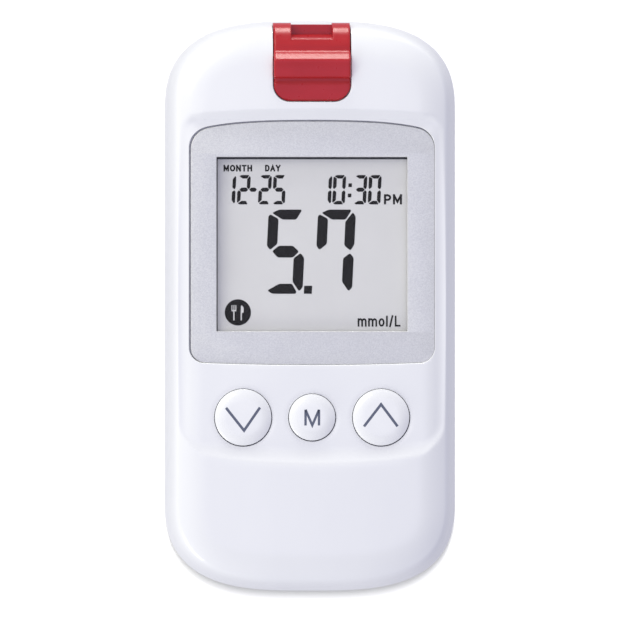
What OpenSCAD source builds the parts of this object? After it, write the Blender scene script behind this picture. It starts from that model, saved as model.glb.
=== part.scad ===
// Handheld blood glucose meter, lying on its back.
// X runs across the meter, Y towards the strip end, Z out of the display.
// Z = 0 is the table under the back.

/* [Body] */
// Overall length, foot end to strip end
body_l = 96; // [94:0.5:98]
// Overall width
body_w = 48.9; // [48.5:0.1:51]
// Height of the crown at the middle, where the waist panel cuts it away
body_h = 22; // [21.8:0.1:22.4]
// Length of each rounded end
end_depth = 15; // [14:0.5:17]
// Fullness of the corners towards the sides
side_power = 3.2; // [3:0.1:3.6]
// Fullness of the corners towards the ends
end_power = 2.5; // [2.4:0.1:2.8]
// How far the front wall and its rounded rim reach inwards, seen from the front
front_round = 2.3; // [2.2:0.1:2.6]
// Share of that reach that is the side wall's draft
front_draft = 1.1; // [1:0.1:1.3]
// How far inwards the head and the lower bulge slope down to the rim
shoulder_l = 6.8; // [6.4:0.1:7]
// Fall of that slope at the rim
shoulder_h = 1; // [0.8:0.1:1.2]
// How far the back edge rounds over, seen from the back
back_round = 5; // [4.5:0.1:5.5]
// Fall of the crown towards the sides
crown_side = 0.8; // [0.5:0.1:1]
// Fall of the crown towards the ends
crown_end = 1.2; // [0.8:0.1:1.6]
// Height of the line where the shells meet
parting_z = 11.5; // [11:0.1:12]
// Wall of both shells at the parting line
wall = 1.9; // [1.8:0.05:2]
// Floor of the back shell
floor_t = 2; // [1.95:0.05:2.1]

/* [Waist panel and display] */
// Depth of the panel under the crown's middle
panel_depth = 1.4; // [1.2:0.1:1.5]
// Width of the panel's floor
panel_w = 41.8; // [41.6:0.1:42]
// Length of the panel's floor
panel_l = 56.4; // [56:0.1:57]
// Fall of the panel's floor at its long sides
panel_fall = 0.4; // [0.2:0.05:0.4]
// Shell thickness under the panel
panel_t = 1.8; // [1.7:0.1:1.9]
// Width of the silver surround
bezel_w = 41; // [40.5:0.1:41.5]
// Length of the silver surround
bezel_l = 41; // [40.5:0.1:41.5]
// Thickness of the silver surround
bezel_t = 1.05; // [0.95:0.05:1.1]
// Width of the window opening
window_w = 32.1; // [31:0.1:33]
// Length of the window opening
window_l = 29.3; // [28.5:0.1:30]
// Thickness of the clear pane
pane_t = 0.9; // [0.7:0.1:1]

/* [Keys] */
// Radius of the two arrow keys
arrow_key_r = 4.75; // [4.4:0.05:4.9]
// Radius of the memory key
memory_key_r = 3.9; // [3.6:0.05:4.1]
// Distance between neighbouring keys
key_pitch = 11.6; // [11.4:0.1:12]
// How far a key goes down
key_travel = 0.4; // [0.3:0.05:0.4]
// Gap between a key and its hole
key_gap = 0.2; // [0.15:0.05:0.25]

/* [Strip ejector] */
// Width of the red slider
ejector_w = 13.1; // [12.5:0.1:13.5]
// Length of the slider's tongue and nose together
ejector_l = 13.2; // [13:0.1:13.4]
// How far the slider moves
ejector_travel = 4.5; // [3:0.5:4.5]
// Width of the strip slot
strip_w = 6.9; // [6:0.1:7.2]
// Height of the strip slot
strip_slot_h = 0.8; // [0.6:0.1:0.8]

/* [Batteries and door] */
// Diameter of an AAA cell
cell_d = 10.5; // [10.2:0.1:10.5]
// Length of an AAA cell over its button
cell_l = 44.5; // [44:0.1:44.5]
// Width of the battery door
door_w = 26; // [25.6:0.1:26.2]
// Door end towards the middle of the meter
door_top_y = 8; // [8:0.1:9]

/* [Hidden] */

$fn = 48;
half_l = body_l / 2;
half_w = body_w / 2;
straight = half_l - end_depth;  // the sides run straight to here, both ways from the middle
slit = 0.15;                    // gap left round pieces that are dropped into the front

// Heights, from the face down
panel_z = body_h - panel_depth;
bezel_top_z = panel_z - 0.35;
bezel_z = bezel_top_z - bezel_t;
pane_z = bezel_z - pane_t;
ceiling_z = panel_z - panel_t;
lcd_top_z = ceiling_z - 0.7;
lcd_pane_t = 1.1;
board_top_z = ceiling_z - 3.2;
board_t = 1.2;
board_z = board_top_z - board_t;

// Waist panel, surround and window in plan
panel_top_y = half_l - 16.1;
panel_bottom_y = panel_top_y - panel_l;
bezel_top_y = panel_top_y - 0.7;
bezel_bottom_y = bezel_top_y - bezel_l;
window_y = bezel_top_y - 20.85;
lcd_w = 35.2;
lcd_top_y = window_y + window_l / 2 + 1.2;
lcd_bottom_y = window_y - window_l / 2 - 3.3;
zebra_ledge = 2.7;  // strip of the upper glass that reaches past the lower one
frame_wall = 0.9;

// Shell joint: a lip on the back shell stands inside the front shell's rim
lip_inset = 1.15;
lip_h = 0.9;
lip_gap = 0.12;

// Keys
key_y = bezel_bottom_y - 8.95;
flange_r_extra = 0.85;
flange_z = ceiling_z - 0.9;
flange_t = 0.7;
key_edge_z = panel_z + 0.35;
key_dome = 0.4;
switch_w = 5;
switch_h = 0.9;
plunger_r = 1.2;
plunger_z = board_top_z + 0.5;
stem_z = board_top_z + 1.4;

// Ejector
ejector_front_y = half_l - 0.4;
ejector_back_y = ejector_front_y - ejector_l;
nose_back_y = ejector_front_y - 6.2;
nose_z = board_top_z + 0.1;
strip_z = board_top_z + 1;      // underside of the strip slot
tongue_z = ceiling_z + 1.3;
tongue_top_z = panel_z + 0.7;
channel_gap = 0.25;
channel_floor_z = tongue_z - 0.2;
leg_w = 2.2;
carriage_top_z = ceiling_z - 0.2;
carriage_t = 0.6;
carriage_y = ejector_back_y + 0.4;
carriage_l = 3.2;
connector_h = 2.2;
connector_w = 10.4;
connector_y = ejector_back_y - 0.8;
connector_l = 7.4;
spring_x = 8.6;
spring_r = 1.05;
spring_wire = 0.3;
spring_pad_y = carriage_y + 0.8;
spring_pad_l = 1.2;
spring_l = 8;
spring_z = board_top_z + 1.7;

// Board
board_w = 37;
board_bottom_y = -31.5;
board_step_y = half_l - 15.4;
board_top_y = half_l - 7;
board_neck_w = 26;
board_screws_at = [for (x = [-16.2, 16.2], y = [-29.2, board_step_y - 3]) [x, y]];
post_r = 1.8;

// Case screws
case_screws_at = [for (x = [-17, 17], y = [-1, 1] * (half_l - 12.5)) [x, y]];
tower_r = 2.5;
screw_r = 0.95;
head_r = 1.8;
head_seat_z = 3;

// Battery bay
cell_r = cell_d / 2;
cell_x = cell_r + 0.2;
cell_z = 7.35;
bay_w = 22.6;
bay_wall = 1.1;
bay_top_y = door_top_y - 0.5;
bay_bottom_y = bay_top_y - cell_l - 4.5;
bay_roof_z = 13;
roof_t = 0.9;
plate_t = 0.4;
coil_wire = 0.5;
coil_l = 4.5 - 2 * plate_t;

// Battery door
door_z = 0.15;
door_t = 1.5;
door_gap = 0.2;
tongue_w = 1;
tongue_under_z = 0.9;
door_end_y = -half_l + 3;       // inner face of the door's upturned end
door_end_h = 7;
groove_top_z = door_z + door_t + door_gap;
groove_w = door_w + 2 * tongue_w + 3 * door_gap;

// ---------- plan and crown of the body ----------

// One quarter of the rounded ends, moved inwards along its normals; angle 0 is the side, 90 the end
function end_point(angle, inset) =
    let (x = half_w * pow(cos(angle), 2 / side_power),
         y = end_depth * pow(sin(angle), 2 / end_power),
         nx = side_power / half_w * pow(x / half_w, side_power - 1),
         ny = end_power / end_depth * pow(y / end_depth, end_power - 1),
         n = norm([nx, ny]))
    [x - inset * nx / n, straight + y - inset * ny / n];

end_steps = 12;
side_steps = 4;

// The whole plan as a ring of points, counter-clockwise from the right-hand side
function plan(inset = 0) =
    let (quarter = [for (i = [0 : end_steps]) end_point(90 * i / end_steps, inset)],
         upper = concat(quarter, [for (i = [end_steps - 1 : -1 : 0]) [-quarter[i].x, quarter[i].y]]),
         lower = [for (p = upper) -p],
         side = [for (i = [1 : side_steps - 1]) straight - 2 * straight * i / side_steps])
    concat(upper, [for (y = side) [-half_w + inset, y]],
           lower, [for (y = side) [half_w - inset, -y]]);

function ring(inset, z) = [for (p = plan(inset)) [p.x, p.y, z]];

// Height of the crowned face over a point of the plan
function crown(p) = body_h - crown_side * pow(p.x / half_w, 2) - crown_end * pow(p.y / half_l, 2);

// Height of the face at an inset from the outline, with the slope down to the rim
function face(p, inset) =
    crown(p) - shoulder_h * pow(max(0, shoulder_l - inset) / (shoulder_l - front_round), 2);

// Edge roundings are quarter superellipses: share of the inset and of the rise at a step angle
front_power = 3.2;
back_power = 2.6;
cavity_power = 4;
function inset_share(angle, power) = 1 - pow(cos(angle), 2 / power);
function rise_share(angle, power) = pow(sin(angle), 2 / power);

front_rings = [
    for (angle = [0, 30, 55, 70, 80, 90])
        let (rise = rise_share(angle, front_power),
             inset = front_draft * rise + (front_round - front_draft) * inset_share(angle, front_power))
        [for (p = plan(inset)) [p.x, p.y, parting_z + (face(p, inset) - parting_z) * rise]],
    for (share = [0.2, 0.5, 1])
        let (inset = front_round + (shoulder_l - front_round) * share)
        [for (p = plan(inset)) [p.x, p.y, face(p, inset)]],
    for (shrink = [0.7, 0.4, 0.15]) [
        for (p = plan(shoulder_l) * shrink) [p.x, p.y, crown(p)]
    ]
];

back_rings = [
    for (angle = [90 : -15 : 0])
        ring(back_round * inset_share(angle, back_power), parting_z * (1 - rise_share(angle, back_power)))
];

front_cavity_round = 3;
back_cavity_round = 4.5;
front_cavity_rings = [
    for (angle = [90 : -30 : 0])
        ring(wall + front_cavity_round * inset_share(angle, cavity_power),
             parting_z + lip_h + (ceiling_z - parting_z - lip_h) * rise_share(angle, cavity_power))
];
back_cavity_rings = [
    for (angle = [0 : 30 : 90])
        ring(wall + back_cavity_round * inset_share(angle, back_power),
             floor_t + (parting_z - floor_t) * (1 - rise_share(angle, back_power)))
];

// ---------- shared forms ----------

function middle(points) = [for (p = points) 1] * points / len(points);

// Closed solid through a run of rings, counter-clockwise seen from the far end
module loft(rings) {
    n = len(rings[0]);
    last = (len(rings) - 1) * n;
    start_point = last + n;
    points = concat([for (r = rings) each r], [middle(rings[0]), middle(rings[len(rings) - 1])]);
    polyhedron(points, concat(
        [for (j = [0 : n - 1]) [start_point, j, (j + 1) % n]],
        [for (i = [0 : n : last - n], j = [0 : n - 1])
            each [[i + j, i + n + j, i + n + (j + 1) % n], [i + j, i + n + (j + 1) % n, i + (j + 1) % n]]],
        [for (j = [0 : n - 1]) [start_point + 1, last + (j + 1) % n, last + j]]
    ), convexity = 6);
}

// Slope at which an arch meets its corner
function arch_lean(reach, r, arch) =
    let (first = atan(2 * arch / reach)) atan(2 * arch / (reach + r * sin(first)));

function arc(centre, r, from, to, steps = 6) =
    [for (i = [0 : steps]) let (a = from + (to - from) * i / steps) centre + r * [cos(a), sin(a)]];

// Plate outline with round corners and arched ends, which run into the corners at the same slope
function plate_outline(w, top_y, bottom_y, top_r, bottom_r, top_arch, bottom_arch, grow = 0) =
    let (hw = w / 2, steps = 6,
         top_lean = arch_lean(hw - top_r, top_r, top_arch),
         bottom_lean = arch_lean(hw - bottom_r, bottom_r, bottom_arch),
         top_x = hw - top_r * (1 - sin(top_lean)), bottom_x = hw - bottom_r * (1 - sin(bottom_lean)),
         right = concat(
             [for (i = [1 : steps - 1])
                 let (x = bottom_x * i / steps, s = 2 * bottom_arch * x / pow(bottom_x, 2))
                 [x, bottom_y + bottom_arch * pow(x / bottom_x, 2)] + grow * [s, -1] / norm([s, 1])],
             arc([hw - bottom_r, bottom_y + bottom_arch + bottom_r * cos(bottom_lean)],
                 bottom_r + grow, bottom_lean - 90, 0),
             arc([hw - top_r, top_y - top_arch - top_r * cos(top_lean)], top_r + grow, 0, 90 - top_lean),
             [for (i = [steps - 1 : -1 : 1])
                 let (x = top_x * i / steps, s = 2 * top_arch * x / pow(top_x, 2))
                 [x, top_y - top_arch * pow(x / top_x, 2)] + grow * [s, 1] / norm([s, 1])]))
    concat([[0, bottom_y - grow]], right, [[0, top_y + grow]],
           [for (i = [len(right) - 1 : -1 : 0]) [-right[i].x, right[i].y]]);

module plate(outline, z, t) translate([0, 0, z]) linear_extrude(t) polygon(outline);

module block(x, y, z) {
    // Box from three [low, high] pairs
    translate([x[0], y[0], z[0]]) cube([x[1] - x[0], y[1] - y[0], z[1] - z[0]]);
}

module peg(at, r, z) translate([at.x, at.y, z[0]]) cylinder(r = r, h = z[1] - z[0]);

// Side profile in Y and Z, drawn out across X
module side_profile(points, w) {
    rotate([90, 0, 90]) translate([0, 0, -w / 2]) linear_extrude(w) polygon(points);
}

// Coil along Z from the origin; the radius runs evenly from r1 to r2
module coil(r1, r2, wire, length, turns, steps = 10, sides = 6) {
    assert(length / turns - wire > 0.4, "the coil's turns touch");
    count = turns * steps;
    loft([
        for (i = [0 : count])
            let (share = i / count, a = 360 * i / steps, r = r1 + (r2 - r1) * share,
                 z = wire / 2 + (length - wire) * share)
            [for (k = [0 : sides - 1]) let (b = -360 * k / sides, s = r + wire / 2 * cos(b))
                [s * cos(a), s * sin(a), z + wire / 2 * sin(b)]]
    ]);
}

// The panel's floor and bank: how far out from the floor's edge and how high.
// The floor falls towards its long sides.
panel_bank = [[-2.5, 0], [-1.2, 0], [0, 0], [0.8, 0.12], [1.5, 0.42], [2.1, 0.9], [2.6, 1.6]];
function panel_ring(step) = [
    for (p = plate_outline(panel_w, panel_top_y, panel_bottom_y, 6.4, 4.4, 0.7, 0.85, step[0]))
        [p.x, p.y, panel_z + step[1] - panel_fall * pow(max(0, abs(p.x) - panel_w / 2 + 2.5) / 2.5, 2)]
];
function bezel_outline(grow) =
    plate_outline(bezel_w, bezel_top_y, bezel_bottom_y, 5.5, 2.4, 0.4, 0.35, grow);

// ---------- housing ----------

module front_shell() {
    hole_r = [arrow_key_r, memory_key_r, arrow_key_r];
    ledge = [lcd_w / 2 - 0.4, window_l / 2 + 0.95];
    color([0.95, 0.96, 0.98]) difference() {
        union() {
            loft(concat(
                front_cavity_rings,
                [for (z = [parting_z + lip_h + lip_gap, parting_z]) ring(lip_inset - lip_gap, z)],
                front_rings));
            for (at = case_screws_at) peg(at, tower_r - 0.2, [parting_z + 0.2, ceiling_z + 0.4]);
            for (at = board_screws_at) peg(at, post_r, [board_top_z, ceiling_z + 0.4]);
            block([spring_x - 1.4, spring_x + 1.2],
                  [spring_pad_y + spring_pad_l + spring_l, spring_pad_y + spring_pad_l + spring_l + 0.8],
                  [board_top_z + 0.3, ceiling_z + 0.4]);
        }
        loft(concat([for (step = panel_bank) panel_ring(step)], [panel_ring([2.6, 3])]));
        plate(bezel_outline(slit), bezel_z, 5);
        block([-ledge.x, ledge.x], [window_y - ledge.y, window_y + ledge.y], [board_top_z, bezel_z + 1]);
        for (i = [0 : 2]) peg([(i - 1) * key_pitch, key_y], hole_r[i] + key_gap, [ceiling_z - 1, body_h]);
        for (at = case_screws_at) peg(at, screw_r + 0.05, [parting_z, ceiling_z - 0.6]);
        for (at = board_screws_at) peg(at, 0.8, [board_top_z - 1, ceiling_z - 0.4]);
        ejector_channel();
    }
}

// Room for the slider: a shallow channel for its tongue, a deep one for its nose, a slot for its leg
module ejector_channel() {
    half = ejector_w / 2 + channel_gap;
    plate(plate_outline(2 * half, half_l + 5, ejector_back_y - channel_gap, 1, 2.6, 0, 0),
          channel_floor_z, 6);
    block([-half, half], [nose_back_y - channel_gap, half_l + 5], [nose_z - 0.3, body_h + 1]);
    block([-leg_w / 2 - 0.3, leg_w / 2 + 0.3], [carriage_y - 0.1, nose_back_y],
          [ceiling_z - 1, channel_floor_z + 1]);
}

module back_shell() {
    outer_bay = bay_w / 2 + bay_wall;
    color([0.93, 0.94, 0.96]) difference() {
        union() {
            loft(concat(
                back_rings,
                [ring(lip_inset, parting_z), ring(lip_inset, parting_z + lip_h)],
                [ring(wall, parting_z + lip_h)],
                back_cavity_rings));
            for (at = case_screws_at) peg(at, tower_r, [floor_t - 0.5, parting_z]);
            // bay box and the rails over the door's tongues
            block([-outer_bay, outer_bay], [bay_bottom_y - bay_wall, bay_top_y + bay_wall],
                  [groove_top_z, bay_roof_z + roof_t]);
            for (side = [-1, 1])
                block([side * 13.4 - 2.2, side * 13.4 + 2.2],
                      [bay_bottom_y - bay_wall, bay_top_y + bay_wall], [groove_top_z, groove_top_z + 1]);
        }
        block([-bay_w / 2, bay_w / 2], [bay_bottom_y, bay_top_y], [-1, bay_roof_z]);
        door_x = [-1, 1] * (door_w / 2 + door_gap);
        block(door_x, [-half_l - 1, door_top_y + door_gap], [-1, groove_top_z]);
        block([-groove_w / 2, groove_w / 2], [-half_l - 1, door_top_y + door_gap],
              [tongue_under_z - door_gap, groove_top_z]);
        block(door_x, [-half_l - 1, door_end_y + door_gap], [-1, door_end_h + door_gap]);
        for (at = case_screws_at) {
            peg(at, head_r + 0.2, [-1, head_seat_z]);
            peg(at, screw_r + 0.2, [0, parting_z + 1]);
        }
        contact_tabs(0.2);
    }
}

module case_screws() {
    color([0.7, 0.7, 0.72]) for (at = case_screws_at) {
        difference() {
            peg(at, head_r, [head_seat_z - 1.2, head_seat_z]);
            for (turn = [0, 90]) translate([at.x, at.y, head_seat_z - 1.2]) rotate(turn)
                cube([2.2, 0.45, 1.2], center = true);
        }
        peg(at, screw_r, [head_seat_z, ceiling_z - 1.2]);
    }
}

module window_bezel() {
    color([0.80, 0.81, 0.84]) difference() {
        plate(bezel_outline(0), bezel_z, bezel_t);
        block([-window_w / 2, window_w / 2], [window_y - window_l / 2, window_y + window_l / 2],
              [bezel_z - 1, bezel_top_z + 1]);
    }
}

module display_window() {
    color([0.9, 0.95, 1, 0.3]) block([-window_w / 2 - 0.8, window_w / 2 + 0.8],
        [window_y - window_l / 2 - 0.7, window_y + window_l / 2 + 0.7], [pane_z, bezel_z]);
}

// ---------- display and board ----------

module lcd_front_glass() {
    color([0.82, 0.84, 0.84]) block([-lcd_w / 2, lcd_w / 2], [lcd_bottom_y, lcd_top_y],
                                    [lcd_top_z - lcd_pane_t, lcd_top_z]);
}

module lcd_rear_glass() {
    color([0.72, 0.75, 0.74]) block([-lcd_w / 2, lcd_w / 2], [lcd_bottom_y + zebra_ledge, lcd_top_y],
                                    [lcd_top_z - 2 * lcd_pane_t, lcd_top_z - lcd_pane_t]);
}

module zebra_strip() {
    color([0.25, 0.25, 0.27])
        block([-lcd_w / 2 + 1, lcd_w / 2 - 1], [lcd_bottom_y + 0.3, lcd_bottom_y + 2.3],
              [board_top_z, lcd_top_z - lcd_pane_t]);
}

module lcd_frame() {
    gap = 0.1;
    ledge = 0.8;
    color([0.9, 0.9, 0.88]) difference() {
        block([-lcd_w / 2 - gap - frame_wall, lcd_w / 2 + gap + frame_wall],
              [lcd_bottom_y - gap - frame_wall, lcd_top_y + gap + frame_wall],
              [board_top_z, ceiling_z - 0.05]);
        block([-lcd_w / 2 - gap, lcd_w / 2 + gap], [lcd_bottom_y - gap, lcd_top_y + gap],
              [lcd_top_z - 2 * lcd_pane_t, ceiling_z + 1]);
        block([-lcd_w / 2 + ledge, lcd_w / 2 - ledge], [lcd_bottom_y + 0.2, lcd_top_y - ledge],
              [board_top_z - 1, ceiling_z]);
    }
}

module main_board() {
    color([0.1, 0.42, 0.25]) difference() {
        translate([0, 0, board_z]) linear_extrude(board_t) polygon([
            [-board_w / 2, board_bottom_y], [board_w / 2, board_bottom_y], [board_w / 2, board_step_y],
            [board_neck_w / 2, board_step_y], [board_neck_w / 2, board_top_y],
            [-board_neck_w / 2, board_top_y], [-board_neck_w / 2, board_step_y], [-board_w / 2, board_step_y]
        ]);
        for (at = board_screws_at) peg(at, 0.9, [board_z - 1, board_top_z + 1]);
    }
}

module board_screws() {
    color([0.75, 0.74, 0.7]) for (at = board_screws_at) {
        peg(at, 1.5, [board_z - 1, board_z]);
        peg(at, 0.7, [board_z, ceiling_z - 0.8]);
    }
}

module board_chips() {
    color([0.12, 0.12, 0.13]) {
        block([-8.5, 0.5], [14, 23], [board_z - 1.3, board_z]);      // controller
        block([4, 8], [14, 19], [board_z - 1.5, board_z]);           // memory
        block([4, 7], [21, 22.6], [board_z - 0.8, board_z]);         // crystal
    }
}

module buzzer() {
    at = [13, 24];
    color([0.15, 0.15, 0.16]) difference() {
        peg(at, 3.8, [board_z - 3.2, board_z]);
        peg(at, 0.7, [board_z - 4, board_z - 2]);
    }
}

module tact_switches() {
    color([0.75, 0.76, 0.78]) for (i = [-1 : 1]) difference() {
        translate([i * key_pitch, key_y, board_top_z + switch_h / 2])
            cube([switch_w, switch_w, switch_h], center = true);
        peg([i * key_pitch, key_y], plunger_r + 0.15, [board_top_z - 1, board_top_z + 2]);
    }
}

// ---------- keys ----------

// Key with a domed cap, a flange that keeps it under the panel, and a stem
module key(x, r) {
    dome_r = (r * r + key_dome * key_dome) / (2 * key_dome);
    color([0.93, 0.94, 0.96]) translate([x, key_y, 0]) {
        intersection() {
            translate([0, 0, flange_z]) cylinder(r = r, h = 6);
            translate([0, 0, key_edge_z + key_dome - dome_r]) sphere(r = dome_r, $fn = 96);
        }
        translate([0, 0, flange_z]) cylinder(r = r + flange_r_extra, h = flange_t);
        translate([0, 0, stem_z]) cylinder(r = 1.5, h = flange_z - stem_z);
    }
}

module plunger(x) color([0.2, 0.2, 0.22]) peg([x, key_y], plunger_r, [plunger_z, stem_z]);

module key_down() key(-key_pitch, arrow_key_r);
module key_memory() key(0, memory_key_r);
module key_up() key(key_pitch, arrow_key_r);
module plunger_down() plunger(-key_pitch);
module plunger_memory() plunger(0);
module plunger_up() plunger(key_pitch);

// ---------- strip socket and ejector ----------

module strip_connector() {
    mouth_h = 0.7;
    contact_room = 0.35;
    color([0.2, 0.2, 0.22]) difference() {
        block([-connector_w / 2, connector_w / 2], [connector_y, connector_y + connector_l],
              [board_top_z, board_top_z + connector_h]);
        block([-strip_w / 2 - 0.15, strip_w / 2 + 0.15], [connector_y + 1, connector_y + connector_l + 1],
              [strip_z, strip_z + mouth_h]);
        block([-leg_w / 2 - 0.35, leg_w / 2 + 0.35], [connector_y + 1, connector_y + connector_l + 1],
              [strip_z, board_top_z + connector_h + 1]);
        for (x = [-2.2, 0, 2.2])
            block([x - contact_room, x + contact_room], [connector_y - 1, connector_y + connector_l - 0.4],
                  [board_top_z + 0.25, strip_z + 0.1]);
    }
}

module strip_contacts() {
    y = connector_y;
    z = board_top_z;
    color([0.85, 0.68, 0.3]) for (x = [-2.2, 0, 2.2]) translate([x, 0, 0]) side_profile([
        [y - 0.6, z], [y - 0.4, z], [y - 0.4, z + 0.3], [y + 4.9, z + 0.85], [y + 6.3, z + 0.45],
        [y + 6.4, z + 0.62], [y + 4.9, z + 1.1], [y - 0.6, z + 0.5]
    ], 0.4);
}

// Red slider: nose with the strip slot, tongue over the channel floor, thumb ridge between them
module strip_ejector() {
    front = ejector_front_y;
    top = tongue_top_z;
    ridge_h = 1.1;
    notch_y = front - 2.3;
    color([0.71, 0.13, 0.18]) {
        difference() {
            intersection() {
                side_profile([
                    [front - 0.1, nose_z], [front, nose_z + 1], [front - 0.15, nose_z + 1.9],
                    [front - 0.6, nose_z + 2.9], [front - 1.3, nose_z + 3.7], [front - 2.4, nose_z + 4.35],
                    [front - 3.4, nose_z + 4.8], [front - 4.6, nose_z + 5.1],
                    [front - 5.4, top + 0.35], [front - 6, top + 0.9], [front - 6.5, top + ridge_h],
                    [front - 8.9, top + ridge_h - 0.15], [front - 9.2, top + ridge_h - 0.4],
                    [front - 9.3, top - 0.2], [front - 10, top - 0.2], [front - 10.2, top],
                    [front - ejector_l, top + 0.02], [front - ejector_l, tongue_z],
                    [nose_back_y, tongue_z], [nose_back_y, nose_z]
                ], ejector_w);
                plate(plate_outline(ejector_w, front + 0.05, ejector_back_y, 0.6, 2.4, 0.05, 0),
                      nose_z - 1, 12);
            }
            block([-strip_w / 2, strip_w / 2], [nose_back_y - 1, front + 1],
                  [strip_z, strip_z + strip_slot_h]);
            block([-strip_w / 2, strip_w / 2], [notch_y, front + 1], [strip_z, body_h + 2]);
            // bevel that leads the strip in
            side_profile([[notch_y - 1.2, strip_z + strip_slot_h], [notch_y + 0.1, strip_z + strip_slot_h],
                          [notch_y + 0.1, strip_z + strip_slot_h + 1.6]], strip_w);
        }
        block([-leg_w / 2, leg_w / 2], [carriage_y + 0.2, carriage_y + 2.6], [carriage_top_z, tongue_z]);
    }
}

// Inner slide: plate under the channel floor, finger behind the strip, arm to the return spring
module ejector_carriage() {
    low_z = carriage_top_z - carriage_t;
    color([0.85, 0.85, 0.82]) {
        block([-4.5, 4.5], [carriage_y, carriage_y + carriage_l], [low_z, carriage_top_z]);
        block([-leg_w / 2, leg_w / 2], [carriage_y + 0.1, carriage_y + 1.3], [strip_z + 0.3, low_z]);
        block([4.5, spring_x + 1.2], [spring_pad_y, spring_pad_y + spring_pad_l], [low_z, carriage_top_z]);
        block([spring_x - 1.2, spring_x + 1.2], [spring_pad_y, spring_pad_y + spring_pad_l],
              [board_top_z + 0.35, low_z]);
    }
}

module ejector_spring() {
    r = spring_r - spring_wire / 2;
    color([0.7, 0.71, 0.73]) translate([spring_x, spring_pad_y + spring_pad_l, spring_z])
        rotate([-90, 0, 0]) coil(r, r, spring_wire, spring_l, 8, 8);
}

// ---------- batteries and door ----------

// One cell's button points to the strip end, the other's to the foot end
module battery_cells() {
    for (side = [-1, 1]) translate([side * cell_x, 0, cell_z]) {
        button_y = side < 0 ? bay_top_y - plate_t : bay_bottom_y + plate_t;
        translate([0, button_y, 0]) rotate([side * -90, 0, 0]) cell();
    }
}

// Cell along Z, with the tip of its button at the origin
module cell() {
    nub_h = 1;
    color([0.25, 0.28, 0.33]) rotate_extrude() polygon([
        [0, 0], [1.7, 0], [1.9, 0.2], [1.9, nub_h], [cell_r - 0.6, nub_h], [cell_r, nub_h + 0.6],
        [cell_r, cell_l - 0.4], [cell_r - 0.4, cell_l], [0, cell_l]
    ]);
}

module battery_springs() {
    color([0.75, 0.76, 0.78]) {
        translate([-cell_x, bay_bottom_y + plate_t, cell_z]) rotate([-90, 0, 0])
            coil(3.4, 2, coil_wire, coil_l, 3);
        translate([cell_x, bay_top_y - plate_t, cell_z]) rotate([90, 0, 0])
            coil(3.4, 2, coil_wire, coil_l, 3);
    }
}

module contact_tabs(grow) {
    for (x = [-cell_x, cell_x])
        block([x - 0.7 - grow, x + 0.7 + grow], [bay_top_y - plate_t - grow, bay_top_y + grow / 10],
              [bay_roof_z - 0.5, grow > 0 ? bay_roof_z + roof_t + 1 : board_z]);
}

module battery_plates() {
    color([0.78, 0.78, 0.74]) {
        for (x = [-cell_x, cell_x])
            block([x - 4.2, x + 4.2], [bay_top_y - plate_t, bay_top_y], [3, bay_roof_z - 0.4]);
        block([-cell_x - 4.2, cell_x + 4.2], [bay_bottom_y, bay_bottom_y + plate_t], [3, bay_roof_z - 0.4]);
        contact_tabs(0);
    }
}

// Door: the middle of the back face with its upturned end, and a tongue along each side
module battery_door() {
    color([0.93, 0.94, 0.96]) difference() {
        union() {
            intersection() {
                loft(back_rings);
                union() {
                    block([-door_w / 2, door_w / 2], [-half_l - 1, door_top_y], [door_z, door_z + door_t]);
                    block([-door_w / 2, door_w / 2], [-half_l - 1, door_end_y], [door_z, door_end_h]);
                }
            }
            for (side = [-1, 1])
                block([side * door_w / 2 - tongue_w, side * door_w / 2 + tongue_w], [door_end_y, door_top_y],
                      [tongue_under_z, door_z + door_t]);
        }
        // thumb grip
        for (i = [0 : 4])
            translate([0, -37 + 1.8 * i, door_z]) cube([11 - i * 1.6, 0.7, 0.7], center = true);
    }
}

front_shell();
back_shell();
window_bezel();
display_window();
lcd_front_glass();
lcd_rear_glass();
lcd_frame();
zebra_strip();
main_board();
board_chips();
buzzer();
board_screws();
tact_switches();
strip_connector();
strip_contacts();
ejector_spring();
battery_cells();
battery_springs();
battery_plates();
case_screws();
key_down();
key_memory();
key_up();
plunger_down();
plunger_memory();
plunger_up();
strip_ejector();
ejector_carriage();
battery_door();
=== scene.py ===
"""Looks of the blood glucose meter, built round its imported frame.

Lengths are millimetres until a mesh is made. X runs across the meter, Y towards the strip end
and Z out of the display, as in the frame.
"""

import math

import bmesh
import bpy
import numpy as np
from mathutils import Matrix, Vector
from mathutils.geometry import delaunay_2d_cdt
from mathutils.kdtree import KDTree


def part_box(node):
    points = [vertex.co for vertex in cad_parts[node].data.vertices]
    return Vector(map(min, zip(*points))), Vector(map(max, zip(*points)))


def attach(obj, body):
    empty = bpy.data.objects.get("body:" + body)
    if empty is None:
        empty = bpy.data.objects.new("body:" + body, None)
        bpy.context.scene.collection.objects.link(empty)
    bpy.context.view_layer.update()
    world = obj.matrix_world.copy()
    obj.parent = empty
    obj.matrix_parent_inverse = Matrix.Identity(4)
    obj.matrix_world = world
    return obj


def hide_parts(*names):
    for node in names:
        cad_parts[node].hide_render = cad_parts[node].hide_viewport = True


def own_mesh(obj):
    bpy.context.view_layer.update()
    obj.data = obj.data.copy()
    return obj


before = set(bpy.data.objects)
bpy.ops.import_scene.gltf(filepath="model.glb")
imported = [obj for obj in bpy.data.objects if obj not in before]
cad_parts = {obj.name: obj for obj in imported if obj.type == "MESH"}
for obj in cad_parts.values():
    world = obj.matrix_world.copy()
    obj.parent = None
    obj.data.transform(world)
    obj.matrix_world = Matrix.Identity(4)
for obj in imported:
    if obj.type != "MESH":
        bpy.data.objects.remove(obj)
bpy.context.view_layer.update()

MM = 0.001

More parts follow.
